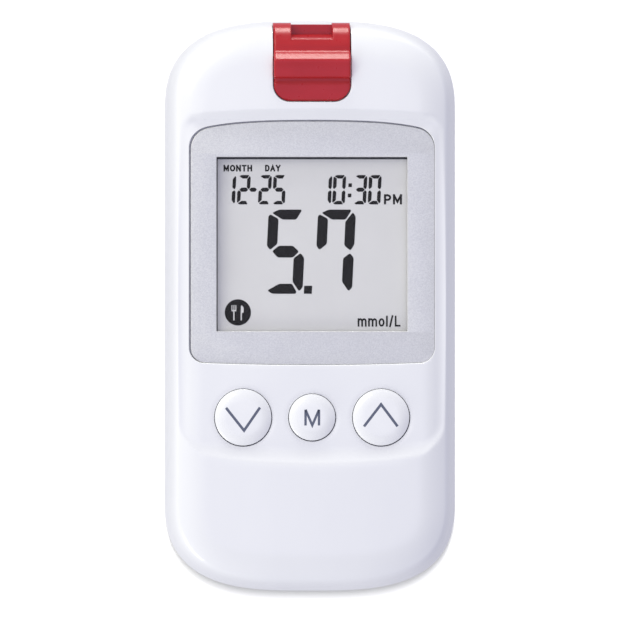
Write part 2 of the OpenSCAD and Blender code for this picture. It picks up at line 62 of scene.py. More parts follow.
# Plan and edges of the two shells, the same rule as the solids follow
HALF_W, HALF_L, END_DEPTH = 24.45, 48.0, 15.0
STRAIGHT = HALF_L - END_DEPTH
SIDE_POWER, END_POWER = 3.2, 2.5
CROWN_Z, CROWN_SIDE, CROWN_END = 22.0, 0.8, 1.2
PARTING_Z = 11.5
FRONT_ROUND, FRONT_DRAFT, FRONT_POWER = 2.3, 1.1, 3.2
SHOULDER_L, SHOULDER_H = 6.8, 1.0
BACK_ROUND, BACK_POWER = 5.0, 2.6
WALL, FLOOR_T, LIP_INSET, LIP_H, LIP_GAP = 1.9, 2.0, 1.15, 0.9, 0.12
SEAM = 0.14  # radius along the line where the shells meet

# Waist panel, surround and window
PANEL_Z = 20.6
CEILING_Z = 18.8
PANEL = dict(half_w=20.9, top_y=31.3, bottom_y=-23.4, top_r=1.7, bottom_r=3.0, top_arch=0.05, bottom_arch=0.85)
PANEL_FALL = 0.4
BEZEL = dict(half_w=20.5, top_y=31.1, bottom_y=-9.8, top_r=3.5, bottom_r=2.4, top_arch=0.45, bottom_arch=0.35,
             top_swoop=0.7)
SLIT = 0.15
POCKET_Z = 19.2  # floor of the surround's pocket
BEZEL_SITS = (0.13, -0.12)  # the surround has settled towards one side and the foot of its pocket
WINDOW_X, WINDOW_Y = (-16.05, 16.05), (-4.3, 25.0)


# ---------- meshes ----------

def in_scene(name, data):
    """New object with this mesh, lamp or camera, linked to the scene."""
    made = bpy.data.objects.new(name, data)
    bpy.context.scene.collection.objects.link(made)
    return made


def new_piece(name, points, faces, finish=None):
    """Object from points in millimetres; its mesh is closed, so its faces can be turned outwards."""
    mesh = bpy.data.meshes.new(name)
    mesh.from_pydata([(p[0] * MM, p[1] * MM, p[2] * MM) for p in points], [], faces)
    soft = bmesh.new()
    soft.from_mesh(mesh)
    bmesh.ops.remove_doubles(soft, verts=soft.verts, dist=2e-7)
    bmesh.ops.recalc_face_normals(soft, faces=soft.faces)
    soft.to_mesh(mesh)
    soft.free()
    if finish:
        mesh.materials.append(finish)
    return in_scene(name, mesh)


def settle(piece):
    """Puts the result of the modifiers into the piece's own mesh."""
    depsgraph = bpy.context.evaluated_depsgraph_get()
    made = bpy.data.meshes.new_from_object(piece.evaluated_get(depsgraph))
    piece.modifiers.clear()
    piece.data = made
    return piece


def drop(*pieces):
    for piece in pieces:
        bpy.data.objects.remove(piece)


def carve(piece, *steps):
    """Boolean steps, each (operation, tool); the tools are removed."""
    for operation, tool in steps:
        cut = piece.modifiers.new("cut", "BOOLEAN")
        cut.operation = operation
        cut.object = tool
        cut.solver = "EXACT"
    settle(piece)
    drop(*[tool for _, tool in steps])
    return piece


def shade(piece, angle=35):
    piece.data.shade_smooth()
    piece.data.set_sharp_from_angle(angle=math.radians(angle))
    return piece


def soften(piece, width, segments=3, angle=40):
    """Small radius along the sharp edges."""
    radius = piece.modifiers.new("radius", "BEVEL")
    radius.width = width * MM
    radius.segments = segments
    radius.limit_method = "ANGLE"
    radius.angle_limit = math.radians(angle)
    radius.harden_normals = False
    return settle(piece)


def finished(piece, body, stands_for=()):
    """The piece rides on its body and stands for its CAD nodes."""
    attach(piece, body)
    if stands_for:
        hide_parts(*stands_for)
    return piece


def loft(name, rings, finish=None):
    """Closed solid through rings with the same number of points."""
    count = len(rings[0])
    faces = [tuple(range(count)), tuple(range((len(rings) - 1) * count, len(rings) * count))]
    for k in range(len(rings) - 1):
        low, high = k * count, (k + 1) * count
        faces += [(low + j, low + (j + 1) % count, high + (j + 1) % count, high + j) for j in range(count)]
    return new_piece(name, [p for ring in rings for p in ring], faces, finish)


def at_height(plan, z):
    return np.column_stack([plan, np.broadcast_to(z, len(plan))])


def box(name, x, y, z, finish=None):
    plan = np.array([(x[0], y[0]), (x[1], y[0]), (x[1], y[1]), (x[0], y[1])])
    return loft(name, [at_height(plan, z[0]), at_height(plan, z[1])], finish)


def circle(centre, r, count=64):
    turn = np.linspace(0, 2 * math.pi, count, endpoint=False)
    return np.column_stack([centre[0] + r * np.cos(turn), centre[1] + r * np.sin(turn)])


def peg(name, at, r, z, count=48):
    plan = circle(at, r, count)
    return loft(name, [at_height(plan, z[0]), at_height(plan, z[1])])


def turned(name, profile, finish=None, count=96):
    """Solid of revolution about Z through the origin, from (radius, z) pairs that start and end on the axis."""
    rings = [at_height(circle((0, 0), max(r, 1e-4), count), z) for r, z in profile]
    return loft(name, rings, finish)


def fillet(centre, r, start, end, steps=6):
    """Quarter round in (radius, z) pairs."""
    return [(centre[0] + r * math.cos(math.radians(a)), centre[1] + r * math.sin(math.radians(a)))
            for a in np.linspace(start, end, steps + 1)]


def moved(piece, x=0, y=0, z=0, turn=None):
    """Moves the mesh itself, so that the object stays at the origin."""
    place = Matrix.Translation((x * MM, y * MM, z * MM))
    piece.data.transform(place @ turn if turn else place)
    return piece


# ---------- plans ----------

def evenly(points, spacing=None, count=None):
    """Points at even steps along an open line."""
    run = np.r_[0, np.cumsum(np.linalg.norm(np.diff(points, axis=0), axis=1))]
    count = count or max(2, round(run[-1] / spacing))
    steps = np.linspace(0, run[-1], count + 1)
    return np.column_stack([np.interp(steps, run, points[:, k]) for k in range(points.shape[1])])


def body_outline(spacing):
    """The plan's outline, counter-clockwise from the right-hand side, with its outward normals."""
    turn = np.linspace(0, math.pi / 2, 6000)
    x = HALF_W * np.cos(turn) ** (2 / SIDE_POWER)
    y = END_DEPTH * np.sin(turn) ** (2 / END_POWER)
    nx = SIDE_POWER / HALF_W * (x / HALF_W) ** (SIDE_POWER - 1)
    ny = END_POWER / END_DEPTH * (y / END_DEPTH) ** (END_POWER - 1)
    size = np.hypot(nx, ny)
    quarter = np.column_stack([x, STRAIGHT + y, nx / size, ny / size])
    quarter = evenly(np.vstack([[HALF_W, 0, 1, 0], quarter]), spacing)
    flip_x, flip_y = np.array([-1, 1, -1, 1]), np.array([1, -1, 1, -1])
    ring = np.vstack([quarter[:-1], (quarter * flip_x)[:0:-1], (-quarter)[:-1], (quarter * flip_y)[:0:-1]])
    return ring[:, :2], ring[:, 2:]


def ring_normals(ring):
    """Outward normals of a closed counter-clockwise outline."""
    along = np.roll(ring, -1, axis=0) - np.roll(ring, 1, axis=0)
    return np.column_stack([along[:, 1], -along[:, 0]]) / np.linalg.norm(along, axis=1)[:, None]


def arched_outline(half_w, top_y, bottom_y, top_r, bottom_r, top_arch, bottom_arch, top_swoop=0, grow=0,
                   spacing=0.45):
    """Plate outline with arched ends that run tangent into its round corners, and its outward normals.

    The swoop bends the top's arch down more and more towards its corners.
    """
    def corner(r, arch, swoop):
        reach = half_w - r
        for _ in range(30):
            lean = math.atan2(2 * arch + 4 * swoop, reach)
            reach = half_w - r * (1 - math.sin(lean))
        return reach, lean

    line = []
    for sign, y, r, arch, swoop in ((1, bottom_y, bottom_r, bottom_arch, 0),
                                    (-1, top_y, top_r, top_arch, top_swoop)):
        reach, lean = corner(r, arch, swoop)
        xs = np.linspace(0, reach, 60)
        part = [(x, y + sign * (arch * (x / reach) ** 2 + swoop * (x / reach) ** 4)) for x in xs]
        centre = (reach - r * math.sin(lean), y + sign * (arch + swoop + r * math.cos(lean)))
        part += [(centre[0] + r * math.cos(a), centre[1] + sign * r * math.sin(a))
                 for a in np.linspace(lean - math.pi / 2, 0, 40)[1:]]
        line += part if sign > 0 else part[::-1]
    half = evenly(np.array(line), spacing)
    ring = np.vstack([half[:-1], (half * [-1, 1])[:0:-1]])
    normals = ring_normals(ring)
    return ring + normals * grow, normals


def distance_out(points, outline, normals):
    """Signed distance of each point from an outline, outwards positive."""
    out = np.empty(len(points))
    for start in range(0, len(points), 2000):
        part = points[start:start + 2000]
        gap = part[:, None, :] - outline[None, :, :]
        nearest = np.argmin((gap ** 2).sum(2), axis=1)
        out[start:start + 2000] = (gap[np.arange(len(part)), nearest] * normals[nearest]).sum(1)
    return out


def flared_cutter(name, plan, normals, low_z, face_z, flare, top_z=30):
    """Cutter whose wall opens in a small radius where it comes out of the face."""
    last = math.radians(80)
    rings = [at_height(plan, low_z)]
    for turn in np.linspace(0, last, 6):
        z = face_z - flare * (math.sin(last) - math.sin(turn))
        rings.append(at_height(plan + normals * flare * (1 - math.cos(turn)), z))
    rings.append(at_height(rings[-1][:, :2], top_z))
    return loft(name, rings)


# ---------- shells ----------

EDGE_TURN = np.radians(np.linspace(0, 90, 1500))
FRONT_RISES = np.sin(EDGE_TURN) ** (2 / FRONT_POWER)
FRONT_INSETS = FRONT_DRAFT * FRONT_RISES + (FRONT_ROUND - FRONT_DRAFT) * (1 - np.cos(EDGE_TURN) ** (2 / FRONT_POWER))
HEAD_RAMP, HEAD_DROP = 0.7, 0.38  # slope of the bank at the head, and how deep it starts
CREST = 0.18  # softness of the crest between the face and the waist panel's bank
WALL_TURNS = (0, 5, 12, 21, 31, 41, 50, 58, 65, 71, 76, 80, 84, 87)
RIM_INSETS = (2.3, 2.45, 2.64, 2.88, 3.2, 3.6, 4.15, 4.8, 5.5, 6.2, 6.9)
DISH_W, DISH_D = 0.95, 0.12  # the floor dips towards each key hole
DISH_STEPS = (-0.12, 0, 0.1, 0.22, 0.36, 0.52, 0.7, 0.88, 1.05, 1.3)
BANK_STEPS = (-0.3, 0, 0.25, 0.5, 0.75, 1, 1.2, 1.4, 1.55, 1.7, 1.85, 2, 2.15, 2.3, 2.45, 2.6, 2.8, 3.1)
FINE = 0.45


def crown(x, y):
    return CROWN_Z - CROWN_SIDE * (x / HALF_W) ** 2 - CROWN_END * (y / HALF_L) ** 2


def soft_min(a, b, softness):
    share = np.clip(0.5 + 0.5 * (b - a) / softness, 0, 1)
    return b + (a - b) * share - softness * share * (1 - share)


def face_height(plan, inset, panel_gap):
    """The crowned and drafted front face with the waist panel sunk into it by a hollow bank."""
    x, y = plan[:, 0], plan[:, 1]
    rise = np.interp(inset, FRONT_INSETS, FRONT_RISES)
    slope = SHOULDER_H * (np.clip(SHOULDER_L - inset, 0, None) / (SHOULDER_L - FRONT_ROUND)) ** 2
    skin = PARTING_Z + (crown(x, y) - slope - PARTING_Z) * rise
    bank = panel_floor(x) + bank_rise(x, y, np.clip(panel_gap, 0, 12))
    for key, r in KEYS.items():
        from_hole = np.hypot(x - KEY_X[key] - HOLE_OFF[0], y - KEY_Y - HOLE_OFF[1]) - r - KEY_GAP
        bank = bank - DISH_D * np.clip(1 - np.clip(from_hole, 0, None) / DISH_W, 0, None) ** 2
    return soft_min(skin, bank, CREST)


def ease(value, start, end):
    share = np.clip((value - start) / (end - start), 0, 1)
    return share * share * (3 - 2 * share)


def bank_rise(x, y, out):
    """The bank is hollow at the sides, a straight ramp at the head and a long hollow at the foot."""
    inner = 1 - ease(np.abs(x), 18.5, 22)
    head, foot = ease(y, 28, 31.2) * inner, ease(-y, 20, 24) * inner
    side = 0.18 * out ** 2 + 0.0085 * out ** 4
    return side * (1 - head - foot) + (HEAD_RAMP * out - HEAD_DROP) * head + 0.095 * out ** 2 * foot


def panel_floor(x):
    return PANEL_Z - PANEL_FALL * (np.clip(np.abs(x) - PANEL["half_w"] + 2.5, 0, None) / 2.5) ** 2


def away_from(taken, points, gap):
    """The points that are farther than the gap from every taken one."""
    near = KDTree(len(taken))
    for k, p in enumerate(taken):
        near.insert((p[0], p[1], 0), k)
    near.balance()
    return np.array([p for p in points if near.find((p[0], p[1], 0))[2] > gap])


def front_skin_points(outline, normals):
    """Rings down the wall and round the rim, rings along the bank, then a lattice in what is left."""
    panel, panel_normals = arched_outline(**PANEL)
    wall_insets = np.interp(np.radians(WALL_TURNS), EDGE_TURN, FRONT_INSETS)
    insets = np.r_[wall_insets, RIM_INSETS]
    # the wall is rolled out flat beyond the rim, so that one flat triangulation covers it too
    flat = np.r_[RIM_INSETS[0] - 0.7 * np.arange(len(WALL_TURNS), 0, -1), RIM_INSETS]
    flat_plan = np.vstack([outline - normals * step for step in flat])
    true_plan = np.vstack([outline - normals * step for step in insets])
    inset = np.repeat(insets, len(outline))

    bank = np.vstack([panel + panel_normals * step for step in BANK_STEPS])
    bank_inset = -distance_out(bank, outline, normals)
    bank = away_from(flat_plan, bank[bank_inset > RIM_INSETS[0] + 0.1], 0.13)
    dishes = [circle(hole_place(key), r + KEY_GAP + step, 100)
              for key, r in KEYS.items() for step in DISH_STEPS]
    bank = np.vstack([bank, *dishes])

    pitch = 1.0
    rows = np.arange(-HALF_L, HALF_L, pitch * math.sqrt(3) / 2)
    lattice = np.array([(x + pitch / 2 * (k % 2), y) for k, y in enumerate(rows)
                        for x in np.arange(-HALF_W, HALF_W, pitch)])
    lattice = lattice[-distance_out(lattice, outline, normals) > RIM_INSETS[-1]]
    lattice = away_from(np.vstack([flat_plan, bank]), lattice, 0.5)

    extra = np.vstack([bank, lattice])
    extra_inset = -distance_out(extra, outline, normals)
    plan = np.vstack([true_plan, extra])
    height = face_height(plan, np.r_[inset, extra_inset], distance_out(plan, panel, panel_normals))
    return np.vstack([flat_plan, extra]), at_height(plan, height)


def front_casing(finish):
    outline, normals = body_outline(FINE)
    count = len(outline)
    flat, points = front_skin_points(outline, normals)
    rim = [(k, (k + 1) % count) for k in range(count)]
    made = delaunay_2d_cdt([Vector(p) for p in flat], rim, [], 1, 1e-6)
    source = [origins[0] for origins in made[3]]
    faces = [tuple(source[v] for v in face) for face in made[2]]

    # from the parting line: the seam's radius, the rim over the back shell's lip, then the cavity
    def ring(inset, z):
        return at_height(outline - normals * inset, z)

    cavity_z = PARTING_Z + LIP_H + LIP_GAP
    cavity_h = CEILING_Z - PARTING_Z - LIP_H - LIP_GAP
    inner = [ring(SEAM, PARTING_Z - 0.02), ring(LIP_INSET - LIP_GAP, PARTING_Z - 0.02),
             ring(LIP_INSET - LIP_GAP, cavity_z)]
    for angle in (0, 12, 25, 40, 55, 70, 90):
        turn = math.radians(angle)
        inner.append(ring(WALL + 3 * (1 - math.cos(turn) ** 0.5), cavity_z + cavity_h * math.sin(turn) ** 0.5))
    start = len(points)
    all_points = np.vstack([points, *inner])
    loops = [0] + [start + k * count for k in range(len(inner))]
    for low, high in zip(loops, loops[1:]):
        faces += [(low + j, high + j, high + (j + 1) % count, low + (j + 1) % count) for j in range(count)]
    faces.append(tuple(range(loops[-1], loops[-1] + count)))
    casing = new_piece("front_casing", all_points, faces, finish)

    pocket, pocket_normals = arched_outline(**BEZEL, grow=SLIT)
    mouth = panel_floor(pocket[:, 0])
    steps = [("DIFFERENCE", flared_cutter("pocket", pocket, pocket_normals, POCKET_Z, mouth, 0.22)),
             ("DIFFERENCE", box("display_room", (-17.2, 17.2), (-5.25, 25.95), (14.4, 19.9)))]
    for key, r in KEYS.items():
        hole = circle(hole_place(key), r + KEY_GAP, 128)
        out = (hole - hole_place(key)) / (r + KEY_GAP)
        steps.append(("DIFFERENCE", flared_cutter("key_hole", hole, out, 17.8, PANEL_Z - DISH_D, 0.08)))
    steps += [("DIFFERENCE", tool) for tool in ejector_channel()]
    return shade(carve(casing, *steps), 30)


def ejector_channel():
    """Room for the slider: a shallow channel, its deep end and the slot for its leg."""
    half = EJECTOR_HALF + CHANNEL_GAP
    back_y = EJECTOR_BACK_Y - CHANNEL_GAP
    corner = CHANNEL_CORNER
    arcs = [(half - corner + corner * math.cos(a), back_y + corner + corner * math.sin(a))
            for a in np.linspace(-math.pi / 2, 0, 14)]
    right = arcs + [(half, y) for y in np.linspace(back_y + corner + 1, 53, 12)]
    plan = np.array(right + [(-x, y) for x, y in right[::-1]])
    normals = ring_normals(plan)
    shallow = flared_cutter("channel", plan, normals, 19.9, crown(plan[:, 0], plan[:, 1]), 0.12)
    deep = box("channel_end", (-half, half), (NOSE_BACK_Y - 0.25, 54), (15.4, 31))
    leg = box("leg_slot", (-1.4, 1.4), (34.7, NOSE_BACK_Y), (17.8, 20.9))
    return shallow, deep, leg


def back_skin(outline, normals, turns):
    """Rings down the round edge of the back shell."""
    rings = []
    for angle in turns:
        turn = math.radians(angle)
        inset = BACK_ROUND * (1 - math.cos(turn) ** (2 / BACK_POWER))
        rings.append(at_height(outline - normals * inset, PARTING_Z * (1 - math.sin(turn) ** (2 / BACK_POWER))))
    return rings


BACK_TURNS = (90, 87, 83, 78, 72, 66, 60, 54, 48, 42, 36, 30, 24, 18, 12, 7, 3, 1)
SCREW_X, SCREW_Y = 17.0, 35.5
BAY_HALF, BAY_WALL, BAY_LOW_Y, BAY_TOP_Y, BAY_ROOF_Z = 11.3, 1.1, -41.5, 7.5, 13.0
CELL_X, CELL_Z, CONTACT_T = 5.45, 7.35, 0.4
CELL_L = 44.5
DOOR_HALF, DOOR_TOP_Y, DOOR_END_Y, DOOR_END_Z, GROOVE_TOP_Z = 13.0, 8.0, -45.0, 7.0, 1.85


def back_casing(finish):
    outline, normals = body_outline(0.6)

    def ring(inset, z):
        return at_height(outline - normals * inset, z)

    rings = [ring(BACK_ROUND + 0.6, 0)] + back_skin(outline, normals, BACK_TURNS)
    rings += [ring(0.02, PARTING_Z - SEAM), ring(0.06, PARTING_Z - 0.06), ring(SEAM, PARTING_Z - 0.02),
              ring(LIP_INSET, PARTING_Z - 0.02), ring(LIP_INSET, PARTING_Z + LIP_H),
              ring(WALL, PARTING_Z + LIP_H), ring(WALL, PARTING_Z - 0.5)]
    for angle in (8, 20, 35, 50, 65, 80, 90):
        turn = math.radians(angle)
        rings.append(ring(WALL + 4.5 * (1 - math.cos(turn) ** (2 / BACK_POWER)),
                          FLOOR_T + (PARTING_Z - 0.5 - FLOOR_T) * (1 - math.sin(turn) ** (2 / BACK_POWER))))
    casing = loft("back_casing", rings, finish)

    outer = BAY_HALF + BAY_WALL
    adds = [peg("tower", (sx * SCREW_X, sy * SCREW_Y), 2.5, (1.5, PARTING_Z - 0.05))
            for sx in (-1, 1) for sy in (-1, 1)]
    adds.append(box("bay", (-outer, outer), (BAY_LOW_Y - BAY_WALL, BAY_TOP_Y + BAY_WALL),
                    (GROOVE_TOP_Z, BAY_ROOF_Z + 0.9)))
    adds += [box("rail", (s * 13.4 - 2.2, s * 13.4 + 2.2), (BAY_LOW_Y - BAY_WALL, BAY_TOP_Y + BAY_WALL),
                 (1.8, GROOVE_TOP_Z + 1)) for s in (-1, 1)]
    cuts = [box("bay_room", (-BAY_HALF, BAY_HALF), (BAY_LOW_Y, BAY_TOP_Y), (-1, BAY_ROOF_Z)),
            box("door_room", (-DOOR_HALF - 0.2, DOOR_HALF + 0.2), (-50, DOOR_TOP_Y + 0.2), (-1, GROOVE_TOP_Z)),
            box("grooves", (-14.3, 14.3), (-50, DOOR_TOP_Y + 0.2), (0.7, GROOVE_TOP_Z)),
            box("door_end_room", (-DOOR_HALF - 0.2, DOOR_HALF + 0.2), (-50, DOOR_END_Y + 0.2),
                (-1, DOOR_END_Z + 0.2))]
    for sx in (-1, 1):
        for sy in (-1, 1):
            at = (sx * SCREW_X, sy * SCREW_Y)
            bore = ((2.3, -1), (2.3, 0), (2.12, 0.08), (2.0, 0.3), (2.0, 3))
            cuts.append(loft("screw_bore", [at_height(circle(at, r, 64), z) for r, z in bore]))
            cuts.append(peg("screw_hole", at, 1.15, (1, 13)))
    for x in (-CELL_X, CELL_X):
        cuts.append(box("contact_slot", (x - 0.9, x + 0.9), (6.9, 7.52), (12.5, 15)))
    steps = [("UNION", tool) for tool in adds] + [("DIFFERENCE", tool) for tool in cuts]
    return shade(carve(casing, *steps), 30)


def grip_groove():
    """Cutter for one groove of the door's thumb grip: a bar with round ends, one unit long and wide."""
    plan = []
    for side in (1, -1):
        plan += [(side * (0.5 - 0.03) + side * 0.03 * math.cos(a), side * 0.5 * math.sin(a))
                 for a in np.linspace(-math.pi / 2, math.pi / 2, 9)]
    plan = np.array(plan)
    rings = [at_height(plan * [1.02, 1.35], -0.5), at_height(plan * [1.0, 1.0], -0.05),
             at_height(plan * [0.99, 0.8], 0.22), at_height(plan * [0.97, 0.45], 0.36)]
    return loft("grip_groove", rings)


def battery_door(finish):
    outline, normals = body_outline(0.6)
    rings = [at_height(outline - normals * (BACK_ROUND + 0.6), 0)] + back_skin(outline, normals, BACK_TURNS)
    rings.append(at_height(outline, PARTING_Z))
    door = loft("battery_door_cover", rings, finish)
    slab = box("door_slab", (-DOOR_HALF, DOOR_HALF), (-49, DOOR_TOP_Y), (0.15, 1.65))
    end = box("door_end", (-DOOR_HALF, DOOR_HALF), (-49, DOOR_END_Y), (0.15, DOOR_END_Z))
    carve(slab, ("UNION", end))
    steps = [("INTERSECT", slab)]
    for s in (-1, 1):
        steps.append(("UNION", box("tongue", (s * DOOR_HALF - 1, s * DOOR_HALF + 1), (DOOR_END_Y, DOOR_TOP_Y),
                                   (0.9, 1.65))))
    carve(door, *steps)
    soften(door, 0.12, 2, 50)
    groove = grip_groove()
    grips = grow("door_grips", grip_tree(), {
        "Groove": groove, "Grooves": 5, "First place": -37.0 * MM, "Pitch": 1.8 * MM, "Longest": 11.0,
        "Shortening": 1.6, "Width": 0.8, "Height": 0.15 * MM, "Finish": finish})
    drop(groove)
    return shade(carve(door, ("DIFFERENCE", grips)), 30)


# ---------- pieces that repeat or follow a path ----------

def add_node(group, kind, links=(), **settings):
    """New node with its settings; each named socket is linked or gets its value."""
    node = group.nodes.new(kind)
    for key, value in settings.items():
        setattr(node, key, value)
    for socket, value in dict(links).items():
        target = node.inputs[socket]
        if isinstance(value, bpy.types.NodeSocket):
            group.links.new(value, target)
        else:
            target.default_value = value
    return node


def tree(name, inputs):
    """Empty Geometry Nodes tree with named inputs; returns the tree and a function that adds linked nodes."""
    group = bpy.data.node_groups.new(name, "GeometryNodeTree")
    group.interface.new_socket("Geometry", in_out="INPUT", socket_type="NodeSocketGeometry")
    for label, kind in inputs.items():
        group.interface.new_socket(label, in_out="INPUT", socket_type="NodeSocket" + kind)
    group.interface.new_socket("Geometry", in_out="OUTPUT", socket_type="NodeSocketGeometry")

    def add(kind, links=(), **settings):
        return add_node(group, kind, links, **settings)

    return group, add, add("NodeGroupInput").outputs


def end_tree(group, add, geometry, finish):
    """Every tree ends in real geometry with its finish."""
    real = add("GeometryNodeRealizeInstances", {"Geometry": geometry})
    dressed = add("GeometryNodeSetMaterial", {"Geometry": real.outputs[0], "Material": finish})
    out = group.nodes.new("NodeGroupOutput")
    group.links.new(dressed.outputs[0], out.inputs[0])
    return group


def grow(name, group, values, base=None):
    """Runs a tree on an empty mesh, or on points, and keeps the result as a plain mesh."""
    mesh = bpy.data.meshes.new(name)
    mesh.from_pydata([tuple(c * MM for c in p) for p in (base or [(0, 0, 0)])], [], [])
    piece = in_scene(name, mesh)
    rule = piece.modifiers.new(name, "NODES")
    rule.node_group = group
    for item in group.interface.items_tree:
        if item.in_out == "INPUT" and item.name in values:
            rule[item.identifier] = values[item.name]
    return settle(piece)


def coil_tree():
    """Wire along a helix whose turns close up at both ends; its axis is Y."""
    group, add, given = tree("wound_coil", {
        "Turns": "Float", "Start radius": "Float", "End radius": "Float", "Length": "Float",
        "Wire radius": "Float", "Steps": "Int", "Finish": "Material"})

    def math_node(operation, a, b=None):
        links = {0: a} if b is None else {0: a, 1: b}
        return add("ShaderNodeMath", links, operation=operation).outputs[0]

    share = add("GeometryNodeSplineParameter").outputs["Factor"]
    turn = math_node("MULTIPLY", math_node("MULTIPLY", share, given["Turns"]), 2 * math.pi)
    radius = add("ShaderNodeMapRange", {
        "Value": share, "To Min": given["Start radius"], "To Max": given["End radius"]}).outputs[0]
    ends = math_node("SINE", math_node("MULTIPLY", share, 2 * math.pi))
    height = math_node("MULTIPLY", math_node("SUBTRACT", share, math_node("MULTIPLY", ends, 0.1)), given["Length"])
    place = add("ShaderNodeCombineXYZ", {
        "X": math_node("MULTIPLY", math_node("COSINE", turn), radius), "Y": height,
        "Z": math_node("MULTIPLY", math_node("SINE", turn), radius)}).outputs[0]
    line = add("GeometryNodeCurvePrimitiveLine", {"End": (0, 0.01, 0)})
    fine = add("GeometryNodeResampleCurve", {"Curve": line.outputs[0], "Count": given["Steps"]})
    wound = add("GeometryNodeSetPosition", {"Geometry": fine.outputs[0], "Position": place})
    wire = add("GeometryNodeCurvePrimitiveCircle", {"Resolution": 12, "Radius": given["Wire radius"]})
    skin = add("GeometryNodeCurveToMesh", {
        "Curve": wound.outputs[0], "Profile Curve": wire.outputs[0], "Fill Caps": True})
    smooth = add("GeometryNodeSetShadeSmooth", {"Geometry": skin.outputs[0]})
    return end_tree(group, add, smooth.outputs[0], given["Finish"])


def screw_tree():
    """One screw on each given place."""
    group, add, given = tree("screws_in_place", {"Screw": "Object", "Size": "Float", "Finish": "Material"})
    one = add("GeometryNodeObjectInfo", {"Object": given["Screw"], "As Instance": True})
    placed = add("GeometryNodeInstanceOnPoints", {
        "Points": given["Geometry"], "Instance": one.outputs["Geometry"], "Scale": given["Size"]})
    return end_tree(group, add, placed.outputs[0], given["Finish"])


def grip_tree():
    """A row of grooves along Y, each one shorter than the one before."""
    group, add, given = tree("thumb_grip", {
        "Groove": "Object", "Grooves": "Int", "First place": "Float", "Pitch": "Float", "Longest": "Float",
        "Shortening": "Float", "Width": "Float", "Height": "Float", "Finish": "Material"})
    start = add("ShaderNodeCombineXYZ", {"Y": given["First place"], "Z": given["Height"]}).outputs[0]
    step = add("ShaderNodeCombineXYZ", {"Y": given["Pitch"]}).outputs[0]
    row = add("GeometryNodeMeshLine", {"Count": given["Grooves"], "Start Location": start, "Offset": step})
    index = add("GeometryNodeInputIndex").outputs[0]
    shorter = add("ShaderNodeMath", {0: index, 1: given["Shortening"]}, operation="MULTIPLY").outputs[0]
    length = add("ShaderNodeMath", {0: given["Longest"], 1: shorter}, operation="SUBTRACT").outputs[0]
    size = add("ShaderNodeCombineXYZ", {"X": length, "Y": given["Width"], "Z": 1.0}).outputs[0]
    one = add("GeometryNodeObjectInfo", {"Object": given["Groove"], "As Instance": True})
    placed = add("GeometryNodeInstanceOnPoints", {
        "Points": row.outputs[0], "Instance": one.outputs["Geometry"], "Scale": size})
    return end_tree(group, add, placed.outputs[0], given["Finish"])


# ---------- finishes ----------

class Finish:
    """Procedural material on a Principled surface, with its patterns measured in millimetres."""

    def __init__(self, name, roughness=0.3, **surface):
        self.material = bpy.data.materials.new(name)
        self.material.use_nodes = True
        self.nodes, self.links = self.material.node_tree.nodes, self.material.node_tree.links
        self.surface = self.nodes["Principled BSDF"]
        self.set(Roughness=roughness, **surface)
        place = self.nodes.new("ShaderNodeTexCoord").outputs["Object"]
        self.mm = self.add("ShaderNodeMapping", {"Vector": place, "Scale": (1000, 1000, 1000)}).outputs[0]

    def set(self, **surface):
        for label, value in surface.items():
            self.surface.inputs[label.replace("_", " ")].default_value = value
        return self

    def add(self, kind, links=(), **settings):
        return add_node(self.material.node_tree, kind, links, **settings)

    def noise(self, size, detail=3.0, stretch=(1, 1, 1)):
        """Noise with features about size millimetres across."""
        place = self.mm
        if stretch != (1, 1, 1):
            place = self.add("ShaderNodeMapping", {"Vector": self.mm, "Scale": stretch}).outputs[0]
        return self.add("ShaderNodeTexNoise", {"Vector": place, "Scale": 1 / size, "Detail": detail}).outputs["Fac"]

    def between(self, value, low, high, start=0.3, end=0.7):
        return self.add("ShaderNodeMapRange", {
            "Value": value, "From Min": start, "From Max": end, "To Min": low, "To Max": high}).outputs[0]

    def tint(self, value, one, other, start=0.3, end=0.7):
        """Base colour that wanders between two close colours."""
        ramp = self.add("ShaderNodeValToRGB", {"Fac": value})
        ramp.color_ramp.elements[0].position, ramp.color_ramp.elements[1].position = start, end
        ramp.color_ramp.elements[0].color, ramp.color_ramp.elements[1].color = (*one, 1), (*other, 1)
        self.links.new(ramp.outputs[0], self.surface.inputs["Base Color"])
        return self

    def rough(self, value, low, high):
        self.links.new(self.between(value, low, high), self.surface.inputs["Roughness"])
        return self

    def bump(self, value, depth, strength=1.0):
        """Relief of the given depth in millimetres."""
        relief = self.add("ShaderNodeBump", {"Height": value, "Distance": depth * MM, "Strength": strength})
        self.links.new(relief.outputs[0], self.surface.inputs["Normal"])
        return self


def gloss_shell():
    """White ABS from a polished tool: faint flow marks, fine dust-sized pits, hardly any peel."""
    made = Finish("shell_white_gloss", IOR=1.5, Coat_Weight=0.25, Coat_Roughness=0.08)
    made.tint(made.noise(14, 4, (1, 0.35, 1)), (0.835, 0.84, 0.865), (0.865, 0.87, 0.89))
    made.rough(made.noise(2.2, 5), 0.2, 0.27)
    return made.bump(made.noise(1.1, 2), 0.0012).material


def gloss_key():
    made = Finish("key_white_gloss", IOR=1.5, Coat_Weight=0.3, Coat_Roughness=0.06)
    made.tint(made.noise(3, 3), (0.86, 0.865, 0.885), (0.885, 0.89, 0.905))
    made.rough(made.noise(0.8, 4), 0.18, 0.25)
    return made.bump(made.noise(0.7, 2), 0.001).material


